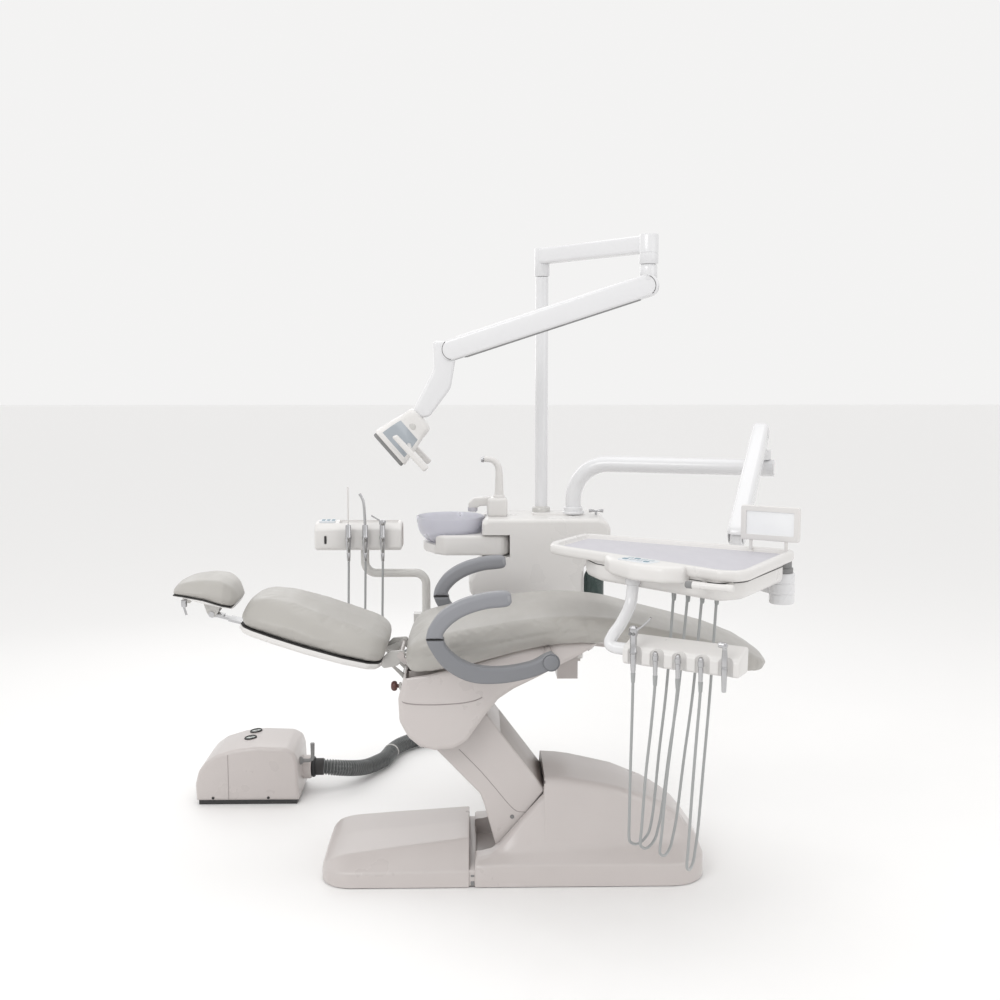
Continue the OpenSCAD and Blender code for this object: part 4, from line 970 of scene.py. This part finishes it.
def headrest():
    top = [(-1044, 884), (-1038, 898), (-1020, 912), (-990, 920), (-940, 925), (-900, 922), (-876, 911),
        (-860, 895), (-850, 876), (-847, 862)]
    low = [(-1044, 880), (-1036, 879), (-1004, 880), (-938, 869), (-878, 848), (-860, 841), (-850, 846),
        (-847, 855)]
    half_rows = [(-1044, 62), (-1036, 100), (-1005, 126), (-940, 134), (-885, 128), (-860, 106), (-847, 60)]
    rings = []
    for x in [-1044, -1041, -1034, -1024] + list(range(-1010, -865, 14)) + [-862, -855, -850, -847]:
        half, roof, floor = table(half_rows, x), table(top, x), table(low, x)
        edge = min(40, half * 0.35)
        drop = 0.32 * (roof - floor)
        outline = fillet([(-half + 6, floor), (half - 6, floor), (half, floor + drop),
            (half - edge, roof - 3), (0, roof + 1), (-half + edge, roof - 3), (-half, floor + drop)],
            [6, 6, 16, 30, 120, 30, 16], 5)
        rings.append([(x, y, z) for y, z in outline])
    cushion("headrest_upholstery", rings, "headrest", "headrest_cushion", voxel=4.0)
    # The shell follows the curved underside of the cushion
    shell, seam = [], []
    for x in [-1036, -1032, -1022] + list(range(-1008, -868, 14)) + [-866, -860]:
        half, roof = table(half_rows, x) - 5, table(low, x)
        thick = 5 + 15 * math.sin(math.pi * (x + 1040) / 190) ** 0.7
        outline = fillet([(-half, roof - 2), (half, roof - 2), (half - 4, roof - 5),
            (half - 40, roof - thick), (-half + 40, roof - thick), (-half + 4, roof - 5)],
            [1, 1, 5, 14, 14, 5], 4)
        shell.append([(x, y, z) for y, z in outline])
        seam.append([(x, y, z) for y, z in fillet([(-half - 2, roof + 1), (half + 2, roof + 1),
            (half + 2, roof - 2.2), (-half - 2, roof - 2.2)], 1, 2)])
    piece("headrest_tub", loft(shell), "headrest", "white_shell", ["headrest_shell"])
    piece("headrest_piping", loft(seam), "headrest", "seam")
    hinge = fillet([(-966, 862), (-950, 812), (-941, 797), (-925, 797), (-914, 812), (-905, 852)], 8)
    for y0 in (-31, 22):
        piece(f"headrest_lug_{'near' if y0 < 0 else 'far'}", slab(hinge, y0, y0 + 9, 1.5), "headrest",
            "gray_enamel")
    pin = [(4, 0), (9, 0), (9, 3), (7, 4.5), (6, 4.5), (6, 64), (9, 64), (9, 67), (7, 68)]
    piece("headrest_pin", lathe(pin, (-935, -34, 806), "y"), "headrest", "steel")
    lever = [(-1004, -92, 858), (-1004, -94, 844), (-1000, -96, 830), (-996, -98, 818)]
    piece("headrest_lever", merge(tube(curve(lever), 3.4, 12), lathe([(8, -6), (9, -2), (9, 14), (7, 16)],
        (-1004, -90, 848))), "headrest", "chrome")
    piece("headrest_stop", block((-1016, -60, 846), (-992, -34, 866), 4), "headrest", "gray_enamel")
    sleeve = fillet([(-46, -40), (46, -40), (46, -56), (-46, -56)], 5)
    piece("headrest_bar_sleeve", slab(sleeve, 404, 446, 3, "x"), "backrest", "gray_enamel", matrix=BACK)


front_cover()
rear_cover()
lift_cover()
junction_box()
valve_lever()
casing()
release_knob()
seat()
armrest("near", -364, -314)
armrest("far", 286, 336)
backrest()
headrest()


# ---------- tower, bowl and faucet ----------

POD_PIN, BOWL_AT = Vector((-38, 540)), Vector((-205, 640))


def arc(center, r, start, end, count):
    """Points of a circle in the plan view, from one angle to another in degrees."""
    out = []
    for k in range(count + 1):
        a = math.radians(start + (end - start) * k / count)
        out.append((center[0] + r * math.cos(a), center[1] + r * math.sin(a)))
    return out


def tower():
    side = [(12, 530), (268, 530), (268, 868), (352, 868), (362, 895), (362, 1000), (350, 1022), (322, 1034),
        (-70, 1034), (-92, 1018), (-92, 870), (-118, 850), (-140, 815), (-136, 770), (-95, 740), (-40, 728),
        (0, 700)]
    outline = fillet(side, [8, 8, 14, 14, 12, 20, 12, 12, 14, 10, 16, 20, 24, 24, 30, 24, 16])
    shell = make("tower_shell", slab(outline, 482, 760, 15, steps=6))
    cut(shell, block((-170, 465, 899), (6, 540, 978), 0.5), block((-170, 500, 899), (POD_PIN.x, 775, 978),
        0.5), lathe([(45, 0), (45, 79)], (*POD_PIN, 899)), lathe([(132, 0), (132, 90)], (*BOWL_AT, 977),
        sides=96))
    finish_piece(shell, "seat", "white_shell", ["tower_body"])
    plate = fillet([(90, 600), (275, 592), (275, 700), (90, 700)], 20)
    piece("socket_plate", stack(plate, [(0, 1032), (0, 1037), (1.2, 1039.4), (4, 1040)]), "seat",
        "white_shell")
    pole_collar = [(20, 0), (33, 0), (33, 16), (31, 19), (25, 20), (21, 26)]
    piece("pole_collar", lathe(pole_collar, (125, 660, 1038)), "seat", "gray_enamel")
    tube_collar = [(24, 0), (40, 0), (40, 6), (37, 9), (34, 9), (34, 22), (31, 25), (26, 25)]
    piece("tube_collar", lathe(tube_collar, (239, 620, 1038)), "seat", "white_enamel")
    seam = [(262, 481.6, z) for z in range(548, 868, 20)]
    piece("tower_seam", tube(seam, 0.9, THIN_SIDES), "seat", "soft_seam")


def bottle():
    wall = [(3, 0), (33, 0), (37, 4), (38, 12), (38, 150), (36, 162), (28, 174), (20, 180), (20, 200)]
    lo, hi = edges_mm("water_bottle")
    mid = (lo + hi) / 2
    scale = (hi.z - lo.z) / 200
    radius = min(hi.x - lo.x, hi.y - lo.y) / 2 / 38
    piece("water_bottle_wall", lathe([(r * radius, h * scale) for r, h in wall], (mid.x, mid.y, lo.z)),
        "seat", "bottle_glass", ["water_bottle"])
    cap = [(22, 0), (26, 1), (26, 20), (24, 24)]
    piece("bottle_cap", lathe([(r * radius * 1.05, h) for r, h in cap], (mid.x, mid.y, hi.z - 24)), "seat",
        "chrome")
    bands = merge(*[lathe([(25.4 * radius * 1.05 + 1, h), (25.4 * radius * 1.05 + 1.5, h + 1),
        (25.4 * radius * 1.05 + 1, h + 2)], (mid.x, mid.y, hi.z - 24)) for h in (5, 9, 13, 17)])
    piece("bottle_cap_rings", bands, "seat", "chrome")


def bowl_pod():
    outline = fillet([(-225, 497)] + arc(POD_PIN, 43, -90, 80, 10) + [(-46, 650), (-64, 712)]
        + arc(BOWL_AT, 100, 40, 215, 14) + [(-262, 530)], [26] + [4] * 11 + [30, 40] + [6] * 15 + [30])
    body = make("bowl_pod_shell", stack(outline, [(14, 902), (5, 904), (1.5, 908), (0, 914), (0, 962),
        (1.5, 968), (5, 972), (12, 974)]))
    cut(body, lathe([(126, 0), (126, 60)], (*BOWL_AT, 936.5), sides=96))
    finish_piece(body, "bowl_arm", "white_shell", ["bowl_pod"])
    wall = [(13, 0), (58, 0), (78, 3), (92, 10), (104, 22), (112, 34), (118, 48), (121.5, 64), (123.5, 80),
        (124, 90), (123.4, 92), (121.5, 93), (119.5, 91.5), (118, 78), (115, 62), (110, 47), (102, 33),
        (90, 19), (74, 11), (54, 7), (20, 5), (13, 4)]
    piece("bowl_glass", lathe(wall, (*BOWL_AT, 935), sides=96), "bowl_arm", "bowl_lavender", ["bowl"],
        sharp=60)
    drain = [(4, 4.6), (12, 4.6), (19, 4.6), (19.5, 6.2), (17, 7.4), (13, 7.0), (11, 5.6), (4, 5.4)]
    piece("bowl_drain", lathe(drain, (*BOWL_AT, 935)), "bowl_arm", "chrome")
    spout = [(-112, 592, 1058), (-118, 594, 1050)]
    piece("bowl_rinse_jet", tube(spout, [6, 5], 16), "seat", "chrome")


def faucet():
    piece("faucet_body", block((-74, 558, 1030), (0, 642, 1100), 13, 15), "seat", "white_shell",
        ["faucet_block"])
    spout = fillet([(-140, 1062), (-140, 1082), (-120, 1100), (-60, 1104), (-60, 1072), (-98, 1070),
        (-112, 1062)], [4, 14, 16, 4, 4, 20, 8])
    piece("faucet_spout", slab(spout, 575, 609, 6), "seat", "white_shell")
    ring = [(12, -2), (16, -2), (17.5, 1), (17.5, 11), (16, 14), (12, 14)]
    piece("faucet_aerator", lathe(ring, (-125, 592, 1052)), "seat", "mat_lavender")
    path = curve([(-30, 600, 1100), (-30, 600, 1140), (-30, 600, 1185), (-34, 600, 1212), (-48, 600, 1230),
        (-66, 600, 1236), (-86, 600, 1236)], 6)
    last = len(path) - 1
    radii = [17 - 4.5 * min(1, i / 14) - 3 * max(0, i - 14) / (last - 14) for i in range(last + 1)]
    piece("cup_filler_neck", tube(path, radii, 24), "filler", "white_shell", ["cup_filler"])
    piece("cup_filler_collar", lathe([(17, -3), (21, -3), (21, 4), (19, 7), (17, 8)], (-30, 600, 1101)),
        "filler", "white_shell")
    piece("cup_filler_tip", lathe([(7, -2), (11, -2), (11.5, 3), (10, 8), (8, 9)], (-86, 600, 1236), "-x"),
        "filler", "chrome")


def flow_knob():
    lo, hi = edges_mm("flow_knob")
    mid = (lo + hi) / 2
    top = hi.z
    stem = [(9, 0), (9, 4), (5, 7), (4.5, top - lo.z - 12)]
    bar = curve([(mid.x - 26, mid.y, top - 7), (mid.x - 13, mid.y, top - 6), (mid.x, mid.y, top - 8),
        (mid.x + 13, mid.y, top - 6), (mid.x + 26, mid.y, top - 7)], 5)
    radii = [5 + 1.6 * math.cos(2 * math.pi * i / (len(bar) - 1)) for i in range(len(bar))]
    piece("flow_knob_bar", tube(bar, radii, 16), "flow", "chrome", ["flow_knob"])
    piece("flow_knob_stem", lathe(stem, (mid.x, mid.y, lo.z)), "flow", "chrome")


# ---------- operating light ----------

def aim_matrix(low, high):
    """Frame at low whose X axis points at high, in metres."""
    v = Vector(high) - Vector(low)
    turn = math.atan2(v.y, v.x)
    rise = math.atan2(v.z, math.hypot(v.x, v.y))
    return (Matrix.Translation(Vector(low) * MM) @ Matrix.Rotation(turn, 4, "Z") @ Matrix.Rotation(-rise, 4,
        "Y"), v.length, math.degrees(turn))


def stadium(length, r):
    """Outline of a bar with round ends, from 0 to length."""
    return arc((length, 0), r, -90, 90, 14) + arc((0, 0), r, 90, 270, 14)


POLE_AT, ELBOW_AT = (125, 660), (440, 180)
BOOM_LOW, BOOM_HIGH = (-195, 285, 1622), (440, 180, 1828)


def light_arm():
    frame_at = Vector((*POLE_AT, 0))
    turn = math.degrees(math.atan2(ELBOW_AT[1] - POLE_AT[1], ELBOW_AT[0] - POLE_AT[0]))
    reach = math.hypot(ELBOW_AT[1] - POLE_AT[1], ELBOW_AT[0] - POLE_AT[0])
    at = heading(frame_at, turn)
    section = fillet([(-24, 1930), (24, 1930), (24, 1986), (-24, 1986)], 12)
    piece("light_arm_beam", slab(section, 8, reach - 8, 1, "x"), "light_beam", "white_enamel", ["light_arm"],
        at)
    hub = [(20, 1886), (25, 1887), (27, 1890), (27, 1982), (25, 1986.5), (16, 1989), (2, 1990)]
    piece("light_arm_hub", lathe(hub, (0, 0, 0)), "light_beam", "white_enamel", matrix=at)
    elbow = [(24, 1894), (29, 1895), (31, 1898), (31, 1926), (29.8, 1927), (29.8, 1930), (31, 1931),
        (31, 1984), (29, 1989), (18, 1991), (2, 1991.6)]
    piece("light_arm_elbow", lathe(elbow, (reach, 0, 0)), "light_beam", "white_enamel", matrix=at)
    knuckle = [(20, 1840), (26, 1841), (28, 1844), (28, 1884), (27, 1888), (24, 1893.4)]
    piece("light_knuckle_barrel", lathe(knuckle, (*ELBOW_AT, 0)), "light_elbow", "white_enamel",
        ["light_knuckle"])
    boom_turn = aim_matrix(BOOM_LOW, BOOM_HIGH)[2]
    tongue = fillet([(-22, 0), (-22, 34), (22, 34), (22, 0), (16, -18), (-16, -18)], 8)
    piece("light_knuckle_tongue", slab(tongue, -20, 20, 3), "light_elbow", "white_enamel",
        matrix=heading(BOOM_HIGH, boom_turn))


def light_boom():
    matrix, length, _ = aim_matrix(BOOM_LOW, BOOM_HIGH)
    body = make("light_boom_shell", slab(stadium(length, 37), -27, 27, 12, steps=6), matrix)
    cut(body, block((-60, -22.5, -60), (36, 22.5, 60), 1), block((length - 40, -22.5, -24),
        (length + 60, 22.5, 60), 1), matrix=matrix)
    finish_piece(body, "light_boom", "white_enamel", ["light_boom"])
    for s, side in SIDES:
        for x, start, end in ((0, "low", (64, -64)), (length, "high", (116, 244))):
            bow = [(px, s * 27.1, pz) for px, pz in arc((x + (10 if x == 0 else -10), 0), 34, 180 - end[0],
                180 - end[1], 16)]
            piece(f"light_boom_arc_{side}_{start}", tube(bow, 0.9, THIN_SIDES), "light_boom", "seam",
                matrix=matrix)
    # Dark strip along the underside of the boom: painted shade
    under = block((40, -21, -38.2), (length - 36, 21, -33), 2.4)
    piece("light_boom_underside_shade", under, "light_boom", "shadow_gray", matrix=matrix)


def light_yoke():
    outline = fillet([(-254, 1654), (-250, 1560), (-322, 1420), (-302, 1398), (-266, 1404), (-196, 1496),
        (-181, 1583), (-180, 1648)], [14, 60, 20, 14, 20, 60, 50, 16])
    piece("light_yoke_shell", slab(outline, 265.5, 304.5, 10, steps=6), "light_yoke", "white_enamel",
        ["light_yoke"])


LENS_AT, BACK_AT = Vector((-398, 285, 1300)), Vector((-292, 285, 1399))
LENS_UP = Vector((-0.655, 0, 0.755)).normalized()


def lamp_ring(s, half_y, half_t, r):
    """Rounded section across the lamp, s from 0 at the lens to 1 at its back."""
    center = LENS_AT.lerp(BACK_AT, s)
    shape = fillet([(-half_y, -half_t), (half_y, -half_t), (half_y, half_t), (-half_y, half_t)], r)
    return [tuple(center + Vector((0, y, 0)) + t * LENS_UP) for y, t in shape]


def lamp():
    sections = [(0.05, 99, 66, 14), (0.05, 103, 70, 16), (0.06, 105, 72, 17), (0.1, 105, 72, 17),
        (0.12, 102, 70, 17), (0.2, 92, 68, 17), (0.4, 75, 63, 18), (0.6, 60, 56, 18), (0.74, 53, 51, 20),
        (0.9, 51, 48, 22), (0.96, 49, 45, 24), (1.0, 42, 38, 26), (1.015, 30, 28, 20)]
    piece("lamp_housing", loft([lamp_ring(*row) for row in sections]), "lamp", "white_shell", ["lamp_head"])
    for s, side in SIDES:
        rings = []
        for at, out, t, grow in ((0.13, 97, 50, 0), (0.15, 96.5, 56, 1), (0.4, 75, 51, 1.6),
                (0.62, 59, 44, 1), (0.64, 57, 40, 0)):
            center = LENS_AT.lerp(BACK_AT, at)
            rings.append([tuple(center + Vector((0, s * (out + dy * grow), 0)) + u * LENS_UP) for u,
                dy in ((-t, -4), (-t + 3, 1.2), (t - 3, 1.2), (t, -4))])
        piece(f"lamp_panel_{side}", loft(rings), "lamp", "lamp_panel")
        y = 285 + s * 138
        bar = fillet([(-384, 1346), (-366, 1352), (-264, 1246), (-281, 1232)], 7)
        piece(f"lamp_grip_{side}", slab(bar, y - 10, y + 10, 6), "lamp", "white_shell")
        arm = [(-334, 285 + s * 54, 1316), (-330, 285 + s * 96, 1310), (-327, 285 + s * 134, 1302)]
        piece(f"lamp_grip_arm_{side}", tube(curve(arm, 6), 8, 16), "lamp", "white_shell")
    bezel = [lamp_ring(s, y, t, 15) for s, y, t in ((0.06, 100, 67), (-0.01, 101, 68), (-0.03, 99, 66),
        (-0.03, 90, 57), (0.0, 89, 56))]
    piece("lamp_bezel", loft(bezel), "lamp", "shadow_gray")
    lens = [lamp_ring(s, y, t, 14) for s, y, t in ((0.02, 90, 58), (-0.02, 91, 59), (-0.035, 86, 54),
        (-0.045, 60, 36), (-0.048, 20, 12))]
    piece("lamp_lens", loft(lens), "lamp", "lens")
    bolt = [(8, -2), (12, -2), (12, 2), (10, 4), (2, 4.6)]
    piece("lamp_pivot_near", lathe(bolt, (-322, 233, 1372), "-y"), "lamp", "gray_enamel")
    piece("lamp_pivot_far", lathe(bolt, (-322, 337, 1372), "y"), "lamp", "gray_enamel")


# ---------- delivery arm and tray ----------

ARM_HIGH, ARM_LOW = (866, 412, 1338), (700, -20, 1052)
HUB_AT = (786, -250)
TRAY = heading((*TRAY_AT, 0), TRAY_DEG)


def delivery_boom():
    matrix, length, turn = aim_matrix(ARM_HIGH, ARM_LOW)
    body = make("delivery_boom_shell", slab(stadium(length, 36), -27, 27, 15, steps=6), matrix)
    cut(body, block((-60, -22.5, -60), (34, 22.5, 20), 1), block((length - 34, -22.5, -60),
        (length + 60, 22.5, 20), 1), matrix=matrix)
    finish_piece(body, "delivery_boom", "white_enamel", ["delivery_boom"])
    for s, side in SIDES:
        for x, end in ((0, "high"), (length, "low")):
            cap = [(18, -2), (18, 0.8), (16.6, 1.4), (16.2, 0.4), (15, 0.4), (14.6, 1.6), (2, 2)]
            piece(f"delivery_boom_cap_{side}_{end}", lathe(cap, (x, s * 27, 0), "y" if s > 0 else "-y"),
                "delivery_boom", "white_enamel", matrix=matrix)
    reach = [HUB_AT[0] - ARM_LOW[0], HUB_AT[1] - ARM_LOW[1]]
    barrel = [(30, 878), (35, 879), (37, 882), (37, 906), (35.6, 907.5), (35.6, 910), (37, 911.5), (37, 938),
        (35.6, 939.5), (35.6, 942), (37, 943.5), (37, 966), (34, 970), (24, 970.4)]
    piece("tray_hub_barrel", lathe(barrel, (*HUB_AT, 0)), "delivery_hub", "white_enamel", ["tray_hub"])
    swivel = [(24, 969), (31, 970.5), (31, 984), (27, 986), (27, 1012)]
    piece("tray_swivel", lathe(swivel, (*HUB_AT, 0)), "tray", "shadow_gray")
    link = fillet([(-24, 900), (-24, 940), (math.hypot(*reach) - 10, 940), (math.hypot(*reach) - 10, 900)],
        10)
    piece("tray_hub_link", slab(link, -21, 21, 7), "delivery_hub", "white_enamel",
        matrix=heading((*ARM_LOW[:2], 0), math.degrees(math.atan2(reach[1], reach[0]))))
    tongue = fillet([(-24, 20), (24, 20), (24, -148), (-24, -148)], [20, 20, 8, 8])
    piece("tray_hub_tongue", slab(tongue, -20.5, 20.5, 4), "delivery_hub", "white_enamel",
        matrix=heading(ARM_LOW, turn))


TRAY_PLAN = [
    (-320, 0), (305, 0), (338, -14), (350, -50), (346, -410), (325, -455), (275, -470), (-270, -303),
    (-328, -275), (-350, -220), (-350, -40), (-342, -12),
]
TRAY_LOW = [
    (-200, -60), (290, -60), (330, -80), (320, -380), (270, -448), (92, -394), (-150, -320), (-222, -250),
    (-240, -90),
]


def tray():
    plan = fillet(TRAY_PLAN, [26, 26, 20, 30, 30, 24, 30, 30, 30, 30, 30, 14])
    rim = [(22, 1009), (12, 1010), (4, 1013), (0.8, 1018), (0, 1023), (0, 1031), (1.2, 1036.5), (4, 1039.4),
        (8, 1040), (19, 1040), (23, 1038.6), (25.5, 1034), (27.5, 1029), (31, 1026.4), (36, 1026)]
    piece("tray_rim", stack(plan, rim), "tray", "white_shell", ["tray"], TRAY)
    mat = [(33, 1026), (33, 1027.6), (34.5, 1028.6), (38, 1028.8)]
    piece("tray_mat", stack(plan, mat), "tray", "mat_lavender", matrix=TRAY)
    low = fillet(TRAY_LOW, [30, 30, 20, 50, 40, 30, 60, 50, 40])
    body = [(34, 950), (16, 951.5), (6, 956), (1.5, 964), (0, 976), (0, 999), (0.8, 1000), (0.8, 1002),
        (0, 1003), (0, 1013)]
    piece("tray_body", stack(low, body), "tray", "white_shell", matrix=TRAY)
    piece("tray_body_line", stack(low, [(-0.3, 1000), (-0.3, 1002)]), "tray", "seam", matrix=TRAY)


def console():
    plan = fillet([(-98, -326), (176, -409), (172, -455), (118, -483), (24, -477), (-62, -423),
        (-108, -362)], [20, 14, 20, 40, 50, 50, 26])
    levels = [(24, 992), (10, 993), (3, 997), (0, 1004), (0, 1024), (2, 1033), (8, 1038), (16, 1039.5)]
    piece("console_body", stack(plan, levels), "tray", "white_shell", matrix=TRAY)
    turn = Matrix.Rotation(math.radians(-16.5), 4, "Z")
    pad_at = TRAY @ Matrix.Translation(Vector((22, -414, 1039)) * MM) @ turn
    pad = fillet([(-58, -28), (58, -28), (58, 30), (-58, 30)], 14)
    piece("console_keypad", stack(pad, [(0, -3), (0, 1.4), (1.2, 2.2), (4, 2.4)]), "tray", "keypad",
        matrix=pad_at)
    keys, accents = [], []
    for row in range(2):
        for col in range(4):
            x, y = -37.5 + 25 * col, -11 + 23 * row
            key = block((x - 8, y - 6, 1), (x + 8, y + 6, 4.2), 1.4, 3)
            (accents if (row + 2 * col) % 3 == 0 else keys).append(key)
    piece("console_keys", merge(*keys), "tray", "key_gray", matrix=pad_at)
    piece("console_keys_blue", merge(*accents), "tray", "key_blue", matrix=pad_at)


def tray_handle():
    rod = [(208 + 100 * k / 12, -490, 1000) for k in range(13)]
    piece("tray_handle_rod", tube(rod, 9, 24), "tray", "white_shell", ["tray_handle"], TRAY)
    for x, y, name in ((226, -405, "left"), (292, -385, "right")):
        post = curve([(x, y, 994), (x, -440, 996), (x, -490, 1000)], 5)
        piece(f"tray_handle_post_{name}", tube(post, [8] * (len(post) - 3) + [7.5, 7, 6.5], 20), "tray",
            "white_shell", matrix=TRAY)
    end = [(8.6, -2), (10, 0), (10, 14), (8, 18), (2, 19)]
    piece("tray_handle_end_left", lathe(end, (210, -490, 1000), "-x"), "tray", "shadow_gray", matrix=TRAY)
    piece("tray_handle_end_right", lathe(end, (306, -490, 1000), "x"), "tray", "white_shell", matrix=TRAY)


def viewer():
    outer = fillet([(184, 1064), (360, 1064), (360, 1166), (184, 1166)], 8)
    frame_piece = make("viewer_bezel", slab(outer, -38, -24, 2.5), TRAY)
    cut(frame_piece, slab(fillet([(200, 1080), (344, 1080), (344, 1150), (200, 1150)], 3), -60, 0, 0.2),
        matrix=TRAY)
    finish_piece(frame_piece, "tray", "white_shell", ["viewer_frame"])
    glass = fillet([(198, 1078), (346, 1078), (346, 1152), (198, 1152)], 3)
    piece("viewer_screen", slab(glass, -34, -29, 0.8), "tray", "film_white", matrix=TRAY)
    for x, name in ((214, "left"), (320, "right")):
        piece(f"viewer_post_{name}", lathe([(8, 1022), (8, 1030), (5, 1033), (5, 1068)], (x, -31, 0)),
            "tray", "white_shell", matrix=TRAY)


def rest_tube():
    path = curve([(-12, -368, 992), (-12, -374, 950), (-13, -388, 905), (-20, -428, 862), (-29, -466, 832),
        (-30, -482, 813), (-12, -484, 804), (30, -484, 804)], 6)
    piece("rest_tube_bend", tube(path, 17, 24), "tray", "white_enamel", ["holder_tube"], TRAY)
    piece("rest_tube_collar", lathe([(17, 962), (22, 964), (22, 976), (20, 980), (17, 980)], (-12, -372, 0)),
        "tray", "white_enamel", matrix=TRAY)


def tool_rest():
    side = fillet([(-445, 846), (-512, 822), (-524, 812), (-524, 778), (-518, 772), (-450, 772)],
        [10, 14, 10, 6, 6, 10])
    rest = make("tool_rest", slab(side, 25, 355, 7, "x"), TRAY)
    slots = []
    for i in range(5):
        slots += [lathe([(23, 0), (23, 120)], (slot_x(i), REST_Y - 1, 750), sides=40)]
    cut(rest, *slots, matrix=TRAY)
    finish_piece(rest, "tray", "white_shell", ["tool_holder"])


def coupling(i):
    """Turbine coupling on its hose, standing in the rest."""
    x = slot_x(i)
    body = [(5, TAIL_Z - 4), (5.6, TAIL_Z), (6, TAIL_Z + 14), (6.8, TAIL_Z + 34), (6.8, 794), (8.6, 796),
        (8.6, 808), (7, 810), (7, 815), (5, 816.5), (5, 819), (3, 820)]
    piece(f"coupling_{i}", lathe(body, (x, REST_Y, 0), sides=32), "tray", "chrome", matrix=TRAY)


def instruments():
    x = slot_x(0)
    body = [(5, TAIL_Z - 4), (7, TAIL_Z + 10), (8.4, 790), (8.4, 806), (10.4, 808), (10.4, 812), (9, 815),
        (9, 852), (11, 858), (13, 868), (12, 877), (6, 882)]
    piece("syringe_body", lathe(body, (x, REST_Y, 0), sides=32), "tray", "chrome", ["tray_tools"], TRAY)
    nozzle = curve([(x + 6, REST_Y, 870), (x + 24, REST_Y - 4, 882), (x + 42, REST_Y - 8, 898),
        (x + 54, REST_Y - 10, 912)], 5)
    piece("syringe_nozzle", tube(nozzle, [4.6] * 3 + [2.7] * (len(nozzle) - 3), 16), "tray", "chrome",
        matrix=TRAY)
    for k, name in ((-1, "air"), (1, "water")):
        piece(f"syringe_button_{name}", lathe([(4, 0), (4.6, 1), (4.6, 6), (3.6, 7.4)],
            (x + 5 * k, REST_Y - 8, 862), "-y", 24), "tray", "shadow_gray", matrix=TRAY)
    for i in (1, 2, 3):
        coupling(i)
    x = slot_x(4)
    body = [(5, 735), (6, 736), (7.4, 770), (8.2, 792), (8.2, 800), (7.2, 803), (7.8, 806), (7.8, 826),
        (6.4, 846), (6, 852), (7.2, 854), (7.2, 860), (3, 862)]
    piece("handpiece_body", lathe(body, (x, REST_Y, 0), sides=32), "tray", "chrome", matrix=TRAY)
    head = [(5, -15), (7.4, -14), (8, -10), (8, 5), (6.6, 8), (2, 9)]
    piece("handpiece_head", lathe(head, (x - 2, REST_Y, 858), Vector((1, 0, -0.1)), 32), "tray", "chrome",
        matrix=TRAY)


# ---------- assistant's unit ----------

def assistant_unit():
    side = [(470, 1022), (448, 1004), (444, 940), (456, 930), (540, 930), (552, 950), (550, 1010),
        (530, 1028), (500, 1028)]
    outline = fillet(side, [20, 16, 12, 10, 12, 20, 20, 16, 20])
    body = make("assistant_rest", slab(outline, -676, -372, 9, "x", steps=5))
    holes = [lathe([(24, 0), (24, 200)], (x, TAIL_Y, 900)) for x in TAIL_X]
    cut(body, block((-592, 474, 1017), (-386, 522, 1060), 6), *holes)
    finish_piece(body, "assistant", "white_shell", ["assistant_holder"])
    # Dark slab over the end face that looks along +X: painted shade on that side of the rest
    piece("assistant_end_shade", slab(inset(outline, 9), -374, -371.2, 1, "x"), "assistant", "taupe_cover")
    pad = fillet([(-662, 478), (-606, 478), (-606, 520), (-662, 520)], 7)
    piece("assistant_keypad", stack(pad, [(0, 1024), (0, 1029.4), (1.6, 1030.4), (4, 1030.6)]), "assistant",
        "keypad")
    keys = [block((-654 + 17 * i, 486 + 15 * j, 1029), (-642 + 17 * i, 496 + 15 * j, 1032.6), 1.2, 2.5)
        for i in range(3) for j in range(2)]
    piece("assistant_keys", merge(*keys), "assistant", "key_blue")
    slot_plate = fillet([(-641, 954), (-633, 954), (-633, 982), (-641, 982)], 3)
    piece("assistant_label_slot", slab(slot_plate, 443.2, 450, 1), "assistant", "seam")


def suction_tools():
    x1, x2, x3 = TAIL_X
    grip = [(5, 921), (6.4, 925), (8.6, 950), (9.6, 962), (9.6, 972), (11, 974), (11, 984), (10, 986),
        (10, 1018), (8.6, 1024), (4, 1026)]
    for i, x in enumerate(TAIL_X):
        piece(f"suction_grip_{i + 1}", lathe(grip, (x, TAIL_Y, 0), sides=36), "assistant", "chrome",
            ["assistant_tools"] if i == 0 else ())
    piece("saliva_ejector", tube([(x1, TAIL_Y, 1020 + 17 * k) for k in range(9)], 2.6, 14), "assistant",
        "white_shell")
    high = curve([(x2, TAIL_Y, 1020), (x2 - 1, TAIL_Y, 1060), (x2 - 4, TAIL_Y, 1100),
        (x2 - 10, TAIL_Y, 1118), (x2 - 18, TAIL_Y, 1132)], 6)
    piece("suction_tip", tube(high, 4.8, 18), "assistant", "chrome")
    head = [(8, 1020), (11, 1026), (12, 1034), (10.6, 1040), (5, 1042)]
    piece("air_syringe_head", lathe(head, (x3, TAIL_Y, 0), sides=32), "assistant", "chrome")
    nozzle = curve([(x3 - 4, TAIL_Y, 1036), (x3 - 16, TAIL_Y, 1043), (x3 - 38, TAIL_Y, 1056)], 6)
    piece("air_syringe_nozzle", tube(nozzle, 2.7, 14), "assistant", "chrome")


RECOLORED = {"seat_frame": "warm_shell"}


def dress_cad_nodes():
    """Gives every CAD node the material of its slot."""
    for part in frame["record"]["subparts"]:
        name = part["node"]
        obj = frame["nodes"].get(name)
        if obj and obj.type == "MESH":
            obj.data.materials.clear()
            obj.data.materials.append(MATERIALS[RECOLORED.get(name, part["material_slot"])])


tower()
bottle()
bowl_pod()
faucet()
flow_knob()
light_arm()
light_boom()
light_yoke()
lamp()
delivery_boom()
tray()
console()
tray_handle()
viewer()
rest_tube()
tool_rest()
instruments()
assistant_unit()
suction_tools()
tray_hoses()
assistant_hoses()
dress_cad_nodes()
